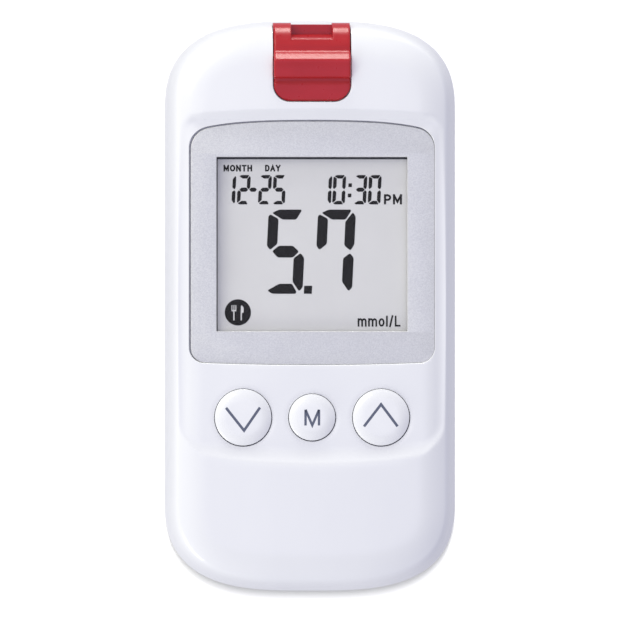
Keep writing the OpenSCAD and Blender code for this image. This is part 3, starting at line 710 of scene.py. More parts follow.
def silver_flake():
    """Silver lacquer: each flake has its own brightness, under a clear coat."""
    made = Finish("bezel_silver_flake", Metallic=0.35, IOR=1.5, Coat_Weight=0.3, Coat_Roughness=0.15)
    flake = made.add("ShaderNodeTexVoronoi", {"Vector": made.mm, "Scale": 7.0}).outputs["Color"]
    bright = made.add("ShaderNodeSeparateColor", {"Color": flake}).outputs[0]
    cloud = made.noise(5, 3)
    mixed = made.add("ShaderNodeMath", {0: bright, 1: made.between(cloud, -0.1, 0.1)}, operation="ADD").outputs[0]
    made.tint(mixed, (0.645, 0.648, 0.65), (0.765, 0.768, 0.77), 0.0, 1.0)
    made.rough(bright, 0.32, 0.5)
    return made.bump(bright, 0.001, 0.5).material


def clear_window():
    made = Finish("window_clear", Alpha=0.06, IOR=1.49, Base_Color=(0.05, 0.055, 0.06, 1))
    return made.rough(made.noise(1.5, 4), 0.02, 0.06).material


def display_face():
    """Grey film of the display, a little uneven as such films are."""
    made = Finish("display_face", IOR=1.45, Specular_IOR_Level=0.3)
    made.tint(made.noise(9, 3), (0.855, 0.85, 0.85), (0.885, 0.88, 0.88))
    made.rough(made.noise(0.3, 2), 0.42, 0.5)
    return made.bump(made.noise(0.12, 2), 0.001).material


def display_ink():
    made = Finish("display_figures", IOR=1.45, Specular_IOR_Level=0.2)
    made.tint(made.noise(0.5, 3), (0.012, 0.011, 0.012), (0.02, 0.018, 0.018))
    return made.rough(made.noise(0.4, 2), 0.4, 0.55).material


def slate_ink():
    """Printed legend on the keys, with the slight mottle of pad printing."""
    made = Finish("key_legend_slate", IOR=1.45)
    made.tint(made.noise(0.25, 3), (0.095, 0.11, 0.165), (0.125, 0.14, 0.20))
    return made.rough(made.noise(0.3, 2), 0.35, 0.5).material


def gloss_red():
    """Red slider: deep gloss with faint flow lines across it."""
    made = Finish("slider_red_gloss", IOR=1.5, Specular_IOR_Level=0.42, Specular_Tint=(0.88, 0.9, 1, 1),
                  Coat_Weight=0.2, Coat_Roughness=0.14)
    made.tint(made.noise(4, 4, (0.4, 1, 1)), (0.40, 0.008, 0.011), (0.47, 0.012, 0.016))
    made.rough(made.noise(0.9, 4), 0.27, 0.35)
    return made.bump(made.noise(0.6, 2), 0.0012).material


def moulded(name, one, other, low=0.4, high=0.55, grain=0.25, depth=0.003):
    """Plain moulded part inside the meter."""
    made = Finish(name, IOR=1.5)
    made.tint(made.noise(3, 4), one, other)
    made.rough(made.noise(0.8, 3), low, high)
    return made.bump(made.noise(grain, 3), depth).material


def metal(name, one, other, low=0.2, high=0.4, stretch=(1, 1, 1), grain=0.3):
    """Plated metal with fine draw marks."""
    made = Finish(name, Metallic=1.0)
    made.tint(made.noise(1.5, 4), one, other)
    made.rough(made.noise(grain, 4, stretch), low, high)
    return made.bump(made.noise(grain, 3, stretch), 0.002).material


def board_mask():
    """Green solder mask over copper tracks, which stand out as a faint relief."""
    made = Finish("board_green_mask", IOR=1.5, Coat_Weight=0.2, Coat_Roughness=0.2)
    bricks = made.add("ShaderNodeTexBrick", {
        "Vector": made.mm, "Scale": 0.55, "Mortar Size": 0.06, "Mortar Smooth": 0.3, "Brick Width": 1.1,
        "Row Height": 0.32})
    made.tint(bricks.outputs["Fac"], (0.008, 0.095, 0.035), (0.02, 0.19, 0.07), 0.2, 0.8)
    made.rough(made.noise(1.2, 4), 0.25, 0.4)
    return made.bump(bricks.outputs["Fac"], 0.02).material


def cell_wrap():
    """Shrink sleeve of a cell: graphite with a silver band near the button, which an attribute measures from."""
    made = Finish("cell_wrap", Metallic=0.2, IOR=1.5, Coat_Weight=0.6, Coat_Roughness=0.12)
    along = made.add("ShaderNodeAttribute", attribute_name="from_tip").outputs["Fac"]
    ramp = made.add("ShaderNodeValToRGB", {"Fac": made.add(
        "ShaderNodeMath", {0: along, 1: 1 / CELL_L}, operation="MULTIPLY").outputs[0]})
    bands = ramp.color_ramp
    bands.interpolation = "CONSTANT"
    bands.elements[0].color = (0.62, 0.60, 0.56, 1)
    bands.elements[1].position, bands.elements[1].color = 0.045, (0.05, 0.075, 0.12, 1)
    for position, colour in ((0.24, (0.66, 0.67, 0.69, 1)), (0.262, (0.035, 0.04, 0.05, 1)),
                             (0.955, (0.62, 0.60, 0.56, 1))):
        bands.elements.new(position).color = colour
    mottle = made.add("ShaderNodeMix", {"Factor": made.between(made.noise(2.5, 4), 0, 0.12),
                                        6: ramp.outputs[0], 7: (0.2, 0.2, 0.22, 1)}, data_type="RGBA")
    made.links.new(mottle.outputs[2], made.surface.inputs["Base Color"])
    made.rough(made.noise(1.5, 4), 0.22, 0.34)
    return made.bump(made.noise(3, 2), 0.01).material


# ---------- keys ----------

KEYS = {"down": 4.75, "memory": 3.9, "up": 4.75}
KEY_X = {key: (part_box("key_" + key)[0].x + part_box("key_" + key)[1].x) / 2 / MM for key in KEYS}
KEY_Y = (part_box("key_up")[0].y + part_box("key_up")[1].y) / 2 / MM
KEY_TOP_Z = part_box("key_up")[1].z / MM
KEY_DOME, ROLL_W, ROLL_D = 0.1, 2.1, 0.55
KEY_GAP = 0.13
HOLE_OFF = (0.02, -0.05)  # the keys hang a little high in their holes
LEGEND_UP = 0.08  # the legends are printed a little above the keys' middles
STEM_Z, FLANGE_Z = 17.0, 17.9


def hole_place(key):
    return np.array([KEY_X[key] + HOLE_OFF[0], KEY_Y + HOLE_OFF[1]])


def dome_height(r, key_r):
    """Height of a key's cap at a distance from its middle: a shallow dome that rolls off at the edge."""
    roll = np.clip(np.asarray(r) - key_r + ROLL_W, 0, None) / ROLL_W
    return KEY_TOP_Z - KEY_DOME * (np.asarray(r) / key_r) ** 2 - ROLL_D * roll ** 2.2


def push_key(key, r, finish):
    edge = 0.1
    lean = math.atan2(float(dome_height(r - 0.02, r) - dome_height(r, r)), 0.02)
    rim_r = r - edge * (1 - math.sin(lean))
    rim_z = float(dome_height(rim_r, r)) - edge * math.cos(lean)
    profile = [(0, STEM_Z), (1.38, STEM_Z), (1.5, STEM_Z + 0.12), (1.5, FLANGE_Z), (r + 0.8, FLANGE_Z),
               (r + 0.85, FLANGE_Z + 0.05), (r + 0.85, FLANGE_Z + 0.65), (r + 0.8, FLANGE_Z + 0.7),
               (r, FLANGE_Z + 0.7), (r, rim_z - 0.3)]
    profile += fillet((r - edge, rim_z), edge, 0, 90 - math.degrees(lean), 5)
    profile += [(s, float(dome_height(s, r))) for s in rim_r * np.sin(np.radians(np.linspace(90, 1, 30)))[1:]]
    profile.append((0, KEY_TOP_Z))
    cap = turned("key_cap_" + key, profile, finish, 128)
    return shade(moved(cap, KEY_X[key], KEY_Y), 40)


def legend(key, strokes, width, finish):
    """Printed strokes that follow the key's dome. A stroke is a run of points, mitred where it bends."""
    points, faces = [], []
    for stroke in strokes:
        line = np.array(stroke, float)
        ahead = np.diff(line, axis=0)
        ahead /= np.linalg.norm(ahead, axis=1)[:, None]
        side = np.column_stack([-ahead[:, 1], ahead[:, 0]])
        mitre = [side[0]]
        for a, b in zip(side, side[1:]):
            mid = (a + b) / np.linalg.norm(a + b)
            mitre.append(mid / (mid @ a))
        mitre.append(side[-1])
        left = evenly_between(line + np.array(mitre) * width / 2, 0.2)
        right = evenly_between(line - np.array(mitre) * width / 2, 0.2, len(left))
        start = len(points)
        for a, b in zip(left, right):
            for share in (0, 0.33, 0.67, 1):
                x, y = a + (b - a) * share
                top = float(dome_height(math.hypot(x, y), KEYS[key])) + 0.012
                points += [(x, y, top), (x, y, top - 0.05)]
        rows = len(left)
        for k in range(rows - 1):
            here, there = start + 8 * k, start + 8 * (k + 1)
            for j in (0, 2, 4):
                faces += [(here + j, there + j, there + j + 2, here + j + 2),
                          (here + j + 1, here + j + 3, there + j + 3, there + j + 1)]
            faces += [(here, here + 1, there + 1, there), (here + 6, there + 6, there + 7, here + 7)]
        for end in (start, start + 8 * (rows - 1)):
            faces += [(end + j, end + j + 1, end + j + 3, end + j + 2) for j in (0, 2, 4)]
    print_ = new_piece("legend_" + key, points, faces, finish)
    return shade(moved(print_, KEY_X[key], KEY_Y + LEGEND_UP), 40)


def evenly_between(corners, spacing, total=None):
    """Splits each stretch between corners, and keeps the corners."""
    out = [corners[0]]
    lengths = np.linalg.norm(np.diff(corners, axis=0), axis=1)
    counts = [max(1, round(length / spacing)) for length in lengths]
    if total:
        counts = [max(1, round((total - 1) * length / lengths.sum())) for length in lengths]
        counts[-1] += total - 1 - sum(counts)
    for a, b, count in zip(corners, corners[1:], counts):
        out += [a + (b - a) * k / count for k in range(1, count + 1)]
    return np.array(out)


# ---------- display ----------

DISPLAY_Z = 18.8  # the display's film lies close under the pane
INK_LOW, INK_T = 0.005, 0.03
PANE_T, FILM_T = 0.2, 0.4
FILM_SHORT_PAINTED_SHADE = (0.22, 0.38)  # the film ends this far inside the window, at its left side and its top, so the dark glass under it shows there as a painted shadow of the window's edge
LEAN = 0.05  # the figures lean to the right

# Strokes of a figure in a box one unit wide and high: top, right pair, bottom, left pair, middle
STROKES = {
    "a": [(0.093, 0.962), (0.278, 1), (0.852, 1), (0.87, 0.985), (0.738, 0.882), (0.375, 0.882)],
    "b": [(0.923, 0.97), (1, 0.916), (1, 0.586), (0.906, 0.513), (0.735, 0.574), (0.733, 0.856)],
    "c": [(0.901, 0.483), (1, 0.426), (1, 0.076), (0.909, 0.03), (0.724, 0.144), (0.722, 0.422)],
    "d": [(0.713, 0.118), (0.839, 0.023), (0.819, 0), (0.203, 0), (0.067, 0.038), (0.375, 0.118)],
    "e": [(0.099, 0.483), (0.278, 0.422), (0.276, 0.144), (0.05, 0.055), (0, 0.09), (0, 0.426)],
    "f": [(0.047, 0.943), (0.269, 0.89), (0.272, 0.593), (0.086, 0.521), (0, 0.57), (0, 0.92)],
    "g": [(0.143, 0.506), (0.317, 0.57), (0.688, 0.57), (0.853, 0.502), (0.704, 0.431), (0.298, 0.431)],
}
FIGURES = {"0": "abcdef", "1": "bc", "2": "abged", "3": "abgcd", "5": "afgcd", "7": "fabc", "-": "g"}


def rounded(corners, r, steps=3):
    """Polygon with its corners rounded by about r."""
    out = []
    count = len(corners)
    for k, corner in enumerate(np.array(corners, float)):
        before, after = np.array(corners[k - 1], float), np.array(corners[(k + 1) % count], float)
        a = before - corner
        b = after - corner
        reach = min(r, np.linalg.norm(a) / 2.2, np.linalg.norm(b) / 2.2)
        a, b = corner + a / np.linalg.norm(a) * reach, corner + b / np.linalg.norm(b) * reach
        for share in np.linspace(0, 1, steps + 1):
            out.append((1 - share) ** 2 * a + 2 * share * (1 - share) * corner + share ** 2 * b)
    return np.array(out)


def ink(name, shapes, finish):
    """Flat printed shapes on the display's film, as thin closed plates."""
    points, faces = [], []
    for shape in shapes:
        start, count = len(points), len(shape)
        points += [(x, y, DISPLAY_Z + z) for z in (INK_LOW, INK_T) for x, y in shape]
        faces += [tuple(range(start, start + count)), tuple(range(start + count, start + 2 * count))]
        faces += [(start + j, start + (j + 1) % count, start + count + (j + 1) % count, start + count + j)
                  for j in range(count)]
    return new_piece(name, points, faces, finish)


def figure(char, left, low, w, h, r):
    shapes = []
    for stroke in FIGURES[char]:
        corners = [(left + u * w + LEAN * v * h, low + v * h) for u, v in STROKES[stroke]]
        shapes.append(rounded(corners, r))
    return shapes


def block_dot(x, y, w, h):
    lean = LEAN * h / 2
    corners = [(x - w / 2 - lean, y - h / 2), (x + w / 2 - lean, y - h / 2),
               (x + w / 2 + lean, y + h / 2), (x - w / 2 + lean, y + h / 2)]
    return rounded(corners, 0.06)


def display_figures(finish):
    big = figure("5", -7.93, 2.02, 6.36, 14.14, 0.3) + figure("7", 0.40, 2.02, 6.36, 14.14, 0.3)
    big.append(block_dot(-0.62, 2.69, 1.33, 1.34))
    small_w, small_h, small_y = 2.12, 4.92, 17.05
    small = []
    for char, left in (("1", -15.04), ("2", -12.61), ("2", -9.05), ("5", -6.65),
                       ("1", 1.11), ("0", 3.44), ("3", 7.01), ("0", 9.42)):
        small += figure(char, left, small_y, small_w, small_h, 0.1)
    small += figure("-", -10.88, small_y, 1.8, small_h, 0.1)
    small += [block_dot(6.47, 20.27, 0.58, 0.62), block_dot(6.38, 18.55, 0.58, 0.62)]
    return ink("display_reading", big, finish), ink("display_date_and_time", small, finish)


def meal_mark(finish):
    """Generic meal sign: a plate with a fork and a knife left out of it."""
    x, y, r = -12.42, -1.12, 2.2
    plate = loft("display_meal_mark",
                 [at_height(circle((x, y), r, 72), DISPLAY_Z + z) for z in (INK_LOW, INK_T)], finish)
    cuts = []

    def cut_out(corners, turn):
        shape = rounded([(x + across, y + along) for across, along in corners], turn)
        cuts.append(("DIFFERENCE", loft("cut", [at_height(shape, DISPLAY_Z + z) for z in (-1, 1)])))

    def slot_cut(x0, x1, y0, y1):
        cut_out([(x0, y0), (x1, y0), (x1, y1), (x0, y1)], 0.08)

    slot_cut(-0.78, -0.56, -1.35, 0.3)
    slot_cut(-1.08, -0.26, 0.18, 0.42)
    for tine in (-1.08, -0.74, -0.42):
        slot_cut(tine, tine + 0.16, 0.3, 1.25)
    slot_cut(0.46, 0.68, -1.35, 0.0)
    cut_out([(0.46, -0.1), (0.98, -0.1), (0.98, 0.9), (0.52, 1.3)], 0.25)  # the knife's blade
    return carve(plate, *cuts)


def bowl(x0, x1, y0, y1):
    """Half round of a letter, open to the left."""
    mid, rise = (y0 + y1) / 2, (y1 - y0) / 2
    return [(x0 + (x1 - x0) * math.sin(a), mid + rise * math.cos(a)) for a in np.linspace(0, math.pi, 10)]


def oval(w, h):
    return [(w / 2 + w / 2 * math.cos(a), h / 2 + h / 2 * math.sin(a)) for a in np.linspace(0, 2 * math.pi, 21)]


# Plain letters as pen lines over a capital one unit high: how wide, then the lines
LETTERS = {
    "M": (0.86, [[(0, 0), (0, 1)], [(0.86, 0), (0.86, 1)], [(0, 1), (0.43, 0.2), (0.86, 1)]]),
    "O": (0.84, [oval(0.84, 1)]),
    "N": (0.72, [[(0, 0), (0, 1)], [(0.72, 0), (0.72, 1)], [(0, 1), (0.72, 0)]]),
    "T": (0.7, [[(0, 1), (0.7, 1)], [(0.35, 1), (0.35, 0)]]),
    "H": (0.7, [[(0, 0), (0, 1)], [(0.7, 0), (0.7, 1)], [(0, 0.52), (0.7, 0.52)]]),
    "D": (0.72, [[(0, 1), *bowl(0.3, 0.72, 0, 1), (0, 0)], [(0, 0), (0, 1)]]),
    "A": (0.8, [[(0, 0), (0.4, 1), (0.8, 0)], [(0.15, 0.32), (0.65, 0.32)]]),
    "Y": (0.78, [[(0, 1), (0.39, 0.48), (0.78, 1)], [(0.39, 0.48), (0.39, 0)]]),
    "P": (0.64, [[(0, 1), *bowl(0.32, 0.64, 0.44, 1), (0, 0.44)], [(0, 0), (0, 1)]]),
    "m": (0.92, [[(0, 0), (0, 0.72)], [(0, 0.5), (0.1, 0.66), (0.25, 0.72), (0.4, 0.66), (0.46, 0.5), (0.46, 0)],
                 [(0.46, 0.5), (0.56, 0.66), (0.71, 0.72), (0.86, 0.66), (0.92, 0.5), (0.92, 0)]]),
    "o": (0.54, [oval(0.54, 0.72)]),
    "l": (0.0, [[(0, 0), (0, 1)]]),
    "/": (0.3, [[(0, -0.05), (0.3, 1.05)]]),
    "L": (0.5, [[(0, 1), (0, 0), (0.5, 0)]]),
}


def pen_line(points, width):
    """Outline of a line drawn with a broad pen, mitred where it bends."""
    line = np.array(points, float)
    ahead = np.diff(line, axis=0)
    ahead /= np.linalg.norm(ahead, axis=1)[:, None]
    line[0] -= ahead[0] * width / 2
    line[-1] += ahead[-1] * width / 2
    side = np.column_stack([-ahead[:, 1], ahead[:, 0]])
    reach = [side[0]]
    for a, b in zip(side, side[1:]):
        mid = (a + b) / np.linalg.norm(a + b)
        reach.append(mid / max(mid @ a, 0.45))
    reach = np.array(reach + [side[-1]]) * width / 2
    return np.vstack([line + reach, (line - reach)[::-1]])


def lettering(name, text, x, y, pen, finish):
    """Word drawn into a box on the display's film: x and y are (low, high)."""
    high = y[1] - y[0] - pen
    space = 0.22 + pen / high
    run = sum(LETTERS[char][0] + space for char in text) - space
    wide = (x[1] - x[0] - pen) / run
    shapes, at = [], x[0] + pen / 2
    for char in text:
        width, lines = LETTERS[char]
        for line in lines:
            shapes.append(pen_line([(at + u * wide, y[0] + pen / 2 + v * high) for u, v in line], pen))
        at += (width + space) * wide
    word, *rest = [ink(name, [shape], finish) for shape in shapes]
    return carve(word, *[("UNION", stroke) for stroke in rest])


# ---------- silver surround ----------

def silver_surround(finish):
    low_z, top_z = POCKET_Z, 20.25
    plan, _ = arched_outline(**BEZEL, spacing=0.7)
    plan = plan + BEZEL_SITS
    surround = loft("silver_surround", [at_height(plan, low_z), at_height(plan, top_z)], finish)
    soften(surround, 0.13, 3, 40)
    carve(surround, ("DIFFERENCE", box("window", WINDOW_X, WINDOW_Y, (low_z - 1, top_z + 1))))
    return shade(soften(surround, 0.1, 3, 40), 35)


def window_pieces(clear, grey):
    """The pane, and the display's film close under it, which stops just short of the window on its left side and top,
    where the dark glass beneath shows as a painted shadow.
    """
    low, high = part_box("display_window")
    x, y, top = (low.x / MM, high.x / MM), (low.y / MM, high.y / MM), high.z / MM
    pane = soften(box("window_pane", x, y, (top - PANE_T, top), clear), 0.04, 2)
    film = box("display_film", (WINDOW_X[0] + FILM_SHORT_PAINTED_SHADE[0], x[1]), (y[0], WINDOW_Y[1] - FILM_SHORT_PAINTED_SHADE[1]),
               (DISPLAY_Z - FILM_T, DISPLAY_Z), grey)
    return shade(pane), film


# ---------- red slider ----------

EJECTOR_HALF = 6.46
TONGUE_CORNER, CHANNEL_CORNER, CHANNEL_GAP = 2.8, 2.9, 0.14
EJECTOR_FRONT_Y, EJECTOR_BACK_Y, NOSE_BACK_Y = 47.6, 34.4, 41.4
NOTCH_HALF, NOTCH_Y = 3.45, 45.3
LIP_Y = NOTCH_Y - 0.45  # behind this line the notch has ended
NOSE_Z, SLOT_LOW_Z, SLOT_TOP_Z, TONGUE_Z = 15.7, 16.6, 17.4, 20.1


def smooth_line(corners, spacing):
    """Smooth curve through corner points, at even steps."""
    corners = np.array(corners, float)
    padded = np.vstack([2 * corners[0] - corners[1], corners, 2 * corners[-1] - corners[-2]])
    out = []
    for k in range(1, len(padded) - 2):
        p0, p1, p2, p3 = padded[k - 1:k + 3]
        for t in np.linspace(0, 1, 12, endpoint=False):
            out.append(0.5 * (2 * p1 + (p2 - p0) * t + (2 * p0 - 5 * p1 + 4 * p2 - p3) * t ** 2
                              + (3 * p1 - p0 - 3 * p2 + p3) * t ** 3))
    out.append(corners[-1])
    return evenly(np.array(out), spacing)


def slider_profile():
    """Top line of the slider in (y, z), from the front end to the thumb ridge's foot."""
    front = EJECTOR_FRONT_Y
    nose = smooth_line([(front, 16.7), (front - 0.08, 17.5), (front - 0.45, 18.5), (front - 1.05, 19.3),
                        (front - 1.9, 19.95), (front - 2.9, 20.42)], 0.14)
    flat = smooth_line([(front - 2.9, 20.42), (front - 3.7, 20.67), (front - 4.5, 20.8)], 0.16)[1:]
    rise = smooth_line([(front - 4.5, 20.8), (front - 4.8, 20.92), (front - 5.3, 21.5), (front - 5.9, 22.1),
                        (front - 6.25, 22.36), (front - 6.6, 22.4)], 0.1)[1:]
    thumb = smooth_line([(front - 6.6, 22.4), (front - 7.6, 22.24), (front - 8.6, 22.18), (front - 9.05, 22.14),
                         (front - 9.22, 22.02), (front - 9.27, 21.85)], 0.1)[1:]
    foot = evenly(np.array([(front - 9.27, 21.85), (front - 9.3, 21.3), (front - 9.34, 21.16),
                            (front - 9.45, 21.1)]), 0.08)[1:]
    return np.vstack([nose, flat, rise, thumb, foot])


def notch_profile(profile):
    """The same line where the notch is: floor, lead-in bevel and a round lip, then the nose as it was."""
    y, z = profile[:, 0].copy(), profile[:, 1].copy()
    inside = y > LIP_Y
    count = inside.sum()
    line = np.array([(EJECTOR_FRONT_Y - 0.25, SLOT_LOW_Z - 0.3), (EJECTOR_FRONT_Y - 0.3, SLOT_LOW_Z),
                     (NOTCH_Y + 0.35, SLOT_LOW_Z), (NOTCH_Y + 0.32, SLOT_TOP_Z + 0.4),
                     (NOTCH_Y - 0.2, 19.9), (NOTCH_Y - 0.3, 20.12), (LIP_Y, np.interp(LIP_Y, y[::-1], z[::-1]))])
    fitted = evenly(line, count=count)
    y[inside], z[inside] = fitted[:count, 0], fitted[:count, 1]
    return np.column_stack([y, z])


def red_slider(finish):
    """Rows run across the slider, one for each point of the top line; columns run along it."""
    edge, ear_edge = 0.38, 0.18
    full = slider_profile()
    notch = notch_profile(full)
    tongue_start = full[-1]

    def drop_at(gap, r):
        gap = min(max(gap, 0), r)
        return r - math.sqrt(r * r - (r - gap) ** 2)

    side = [EJECTOR_HALF - edge + edge * math.sin(a) for a in np.radians((90, 75, 60, 45, 30, 15, 0))]
    ear = [NOTCH_HALF + ear_edge * (1 - math.cos(a)) for a in np.radians((90, 65, 40, 20, 0))]
    xs = side + list(np.linspace(side[-1], ear[0], 7)[1:-1]) + ear
    middle_xs = list(np.linspace(NOTCH_HALF, -NOTCH_HALF, 13))
    columns = [(x, full) for x in xs] + [(x, notch) for x in middle_xs] + [(-x, full) for x in xs[::-1]]

    rows = []
    tongue_rows = 12
    for x, profile in columns:
        fall = drop_at(EJECTOR_HALF - abs(x), edge)
        inner = drop_at(abs(x) - NOTCH_HALF, ear_edge) if profile is full else 0
        column = []
        for y, z in profile:
            ear_fall = inner if y > LIP_Y else inner * max(0, 1 - (LIP_Y - y) / 0.25)
            column.append((x, y, max(z - fall - ear_fall, NOSE_Z)))
        # the tongue ends in round corners
        past = max(abs(x) - (EJECTOR_HALF - TONGUE_CORNER), 0)
        end_y = EJECTOR_BACK_Y + TONGUE_CORNER - math.sqrt(max(TONGUE_CORNER ** 2 - past ** 2, 0))
        for share in np.linspace(0, 1, tongue_rows + 1)[1:]:
            y = tongue_start[0] + (end_y - tongue_start[0]) * share
            rim = drop_at(min(y - end_y, 0.3), 0.3)
            step = 0.2 * min(max((tongue_start[0] - 0.55 - y) / 0.2, 0), 1)
            column.append((x, y, 21.1 + step - max(rim, fall)))
        rows.append(column)
    height = len(rows[0])
    points = [p for column in rows for p in column]
    faces = []
    for k in range(len(rows) - 1):
        for j in range(height - 1):
            a, b = k * height + j, (k + 1) * height + j
            faces.append((a, b, b + 1, a + 1))
    # down to the underside all the way round
    loop = [k * height for k in range(len(rows))]
    loop += [(len(rows) - 1) * height + j for j in range(1, height)]
    loop += [k * height + height - 1 for k in range(len(rows) - 2, -1, -1)]
    loop += list(range(height - 2, 0, -1))
    base = len(points)
    points += [(points[v][0], points[v][1], NOSE_Z) for v in loop]
    count = len(loop)
    faces += [(loop[j], loop[(j + 1) % count], base + (j + 1) % count, base + j) for j in range(count)]
    faces.append(tuple(range(base, base + count)))
    slider = new_piece("red_slider", points, faces, finish)
    carve(slider,
          ("DIFFERENCE", box("under", (-8, 8), (30, NOSE_BACK_Y), (14, TONGUE_Z))),
          ("DIFFERENCE", box("slot", (-NOTCH_HALF, NOTCH_HALF), (40, NOTCH_Y + 0.5), (SLOT_LOW_Z, SLOT_TOP_Z))),
          ("UNION", box("leg", (-1.1, 1.1), (35.0, 37.4), (18.6, TONGUE_Z + 0.3))))
    return shade(slider, 38)


# ---------- fasteners, springs and cells ----------

def pan_screw(head_r, head_h, shank_r, shank_l):
    """Screw with its head down: domed pan head, cross recess and shank, from z = 0 under the head."""
    profile = [(0, -head_h), (head_r * 0.45, -head_h), (head_r * 0.75, -head_h * 0.88),
               (head_r * 0.93, -head_h * 0.6), (head_r, -head_h * 0.3), (head_r, -0.05), (head_r - 0.05, 0),
               (shank_r, 0), (shank_r, shank_l - shank_r * 0.5), (shank_r * 0.6, shank_l), (0, shank_l)]
    screw = turned("screw", profile, None, 48)
    reach, half = head_r * 0.6, head_r * 0.13
    steps = []
    for turn in (0, math.pi / 2):
        arm = np.array([(-reach, -half), (reach, -half), (reach, half), (-reach, half)])
        arm = arm @ np.array([[math.cos(turn), math.sin(turn)], [-math.sin(turn), math.cos(turn)]])
        recess = [at_height(arm, -head_h - 0.1), at_height(arm * 0.62, -head_h * 0.3)]
        steps.append(("DIFFERENCE", loft("arm", recess)))
    return shade(carve(screw, *steps), 35)


def screws(name, screw, places, finish):
    made = grow(name, screw_tree(), {"Screw": screw, "Size": 1.0, "Finish": finish}, places)
    drop(screw)
    return made


def coil(name, place, turns, start_r, end_r, length, wire_r, finish, flip=False):
    """Coil along Y from its place."""
    made = grow(name, coil_tree(), {
        "Turns": float(turns), "Start radius": start_r * MM, "End radius": end_r * MM,
        "Length": (length - 2 * wire_r) * MM, "Wire radius": wire_r * MM, "Steps": int(turns * 36), "Finish": finish})
    moved(made, 0, wire_r, 0)
    if flip:
        moved(made, turn=Matrix.Rotation(math.pi, 4, "Z"))
    return moved(made, *place)


def joined(name, pieces):
    """One piece from several plain meshes."""
    soft = bmesh.new()
    for piece in pieces:
        soft.from_mesh(piece.data)
    mesh = bpy.data.meshes.new(name)
    soft.to_mesh(mesh)
    soft.free()
    for slot in pieces[0].data.materials:
        mesh.materials.append(slot)
    drop(*pieces)
    return in_scene(name, mesh)


def cell(name, x, tip_y, towards, finish):
    """AAA cell: button, insulating washer, sleeve with a crimped edge at both ends."""
    profile = [(0, 0), (1.6, 0), (1.82, 0.08), (1.9, 0.3), (1.9, 0.95), (2.05, 1.0), (3.6, 1.0), (3.75, 0.86),
               (4.25, 0.86), (4.6, 0.92), (4.95, 1.2), (5.15, 1.62), (5.22, 2.2), (5.25, 3.0)]
    profile += [(5.25, s) for s in np.linspace(5, 41.5, 10)]
    profile += [(5.22, 42.6), (5.12, 43.5), (4.8, 44.1), (4.4, 44.32), (4.0, 44.3), (3.8, 44.42),
                (3.4, CELL_L), (0, CELL_L)]
    made = turned(name, profile, finish, 96)
    along = made.data.attributes.new("from_tip", "FLOAT", "POINT")
    along.data.foreach_set("value", [v.co.z / MM for v in made.data.vertices])
    moved(made, turn=Matrix.Rotation(math.radians(90 if towards < 0 else -90), 4, "X"))
    return shade(moved(made, x, tip_y, CELL_Z), 40)


# ---------- the meter ----------

def build_meter():
    shell, key_gloss, red = gloss_shell(), gloss_key(), gloss_red()
    finished(front_casing(shell), "housing", ["front_shell"])
    finished(back_casing(shell), "housing", ["back_shell"])
    finished(battery_door(shell), "door_body", ["battery_door"])
    finished(silver_surround(silver_flake()), "housing", ["window_bezel"])
    finished(red_slider(red), "ejector_body", ["strip_ejector"])
    pane, film = window_pieces(clear_window(), display_face())
    finished(pane, "housing", ["display_window"])
    finished(film, "housing")

    slate = slate_ink()
    chevron_down = [[(-2.9, 1.52), (0.13, -2.3), (2.8, 1.57)]]
    chevron_up = [[(-2.9, -1.62), (-0.03, 2.1), (2.75, -1.6)]]
    letter_m = [[(-1.13, -1.45), (-1.13, 1.2)], [(1.13, -1.45), (1.13, 1.2)],
                [(-1.13, 1.2), (0, -1.42), (1.13, 1.2)]]
    legends = {"down": (chevron_down, 0.44), "memory": (letter_m, 0.4), "up": (chevron_up, 0.44)}
    for key, r in KEYS.items():
        body = key + "_key_body"
        finished(push_key(key, r, key_gloss), body, ["key_" + key])
        finished(legend(key, *legends[key], slate), body)

    ink_finish = display_ink()
    for piece in display_figures(ink_finish):
        finished(piece, "housing")
    finished(meal_mark(ink_finish), "housing")
    for name, text, x, y, pen in (
            ("display_word_month", "MONTH", (-14.83, -10.03), (22.58, 23.68), 0.25),
            ("display_word_day", "DAY", (-7.84, -5.24), (22.58, 23.68), 0.25),
            ("display_word_pm", "PM", (12.17, 15.19), (17.05, 18.74), 0.34),
            ("display_unit", "mmol/L", (7.74, 14.94), (-3.5, -1.68), 0.28)):
        finished(lettering(name, text, x, y, pen, ink_finish), "housing")

    steel = metal("spring_steel", (0.55, 0.55, 0.57), (0.68, 0.68, 0.7), 0.18, 0.32)
    zinc = metal("screw_zinc", (0.5, 0.5, 0.49), (0.64, 0.63, 0.6), 0.25, 0.42)
    nickel = metal("contact_nickel", (0.6, 0.58, 0.53), (0.7, 0.68, 0.63), 0.2, 0.38, (0.2, 1, 1))
    case_places = [(sx * SCREW_X, sy * SCREW_Y, 3.0) for sx in (-1, 1) for sy in (-1, 1)]
    finished(screws("case_screw_set", pan_screw(1.8, 1.2, 0.95, 14.5), case_places, zinc),
             "housing", ["case_screws"])
    board_places = [(x, y, 14.4) for x in (-16.2, 16.2) for y in (-29.2, 29.6)]
    finished(screws("board_screw_set", pan_screw(1.5, 1.0, 0.7, 3.6), board_places, zinc),
             "housing", ["board_screws"])

    spring = finished(coil("slider_return_spring", (8.6, 36.8, 16.35 + 0.95), 9, 0.9, 0.9, 8.0, 0.15, steel),
                      "housing", ["ejector_spring"])
    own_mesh(spring)
    low_y, high_y = BAY_LOW_Y + CONTACT_T, BAY_TOP_Y - CONTACT_T
    wound = (3.5, 3.4, 2.0, 3.7, 0.25, steel)
    low = coil("coil_low", (-CELL_X, low_y, CELL_Z), *wound)
    high = coil("coil_high", (CELL_X, high_y, CELL_Z), *wound, flip=True)
    finished(joined("battery_coils", [low, high]), "housing", ["battery_springs"])

    wrap = cell_wrap()
    cells = joined("battery_pair", [cell("cell_a", -CELL_X, high_y, -1, wrap), cell("cell_b", CELL_X, low_y, 1, wrap)])
    finished(shade(cells, 40), "housing", ["battery_cells"])

    dress_inner_parts(nickel, steel)


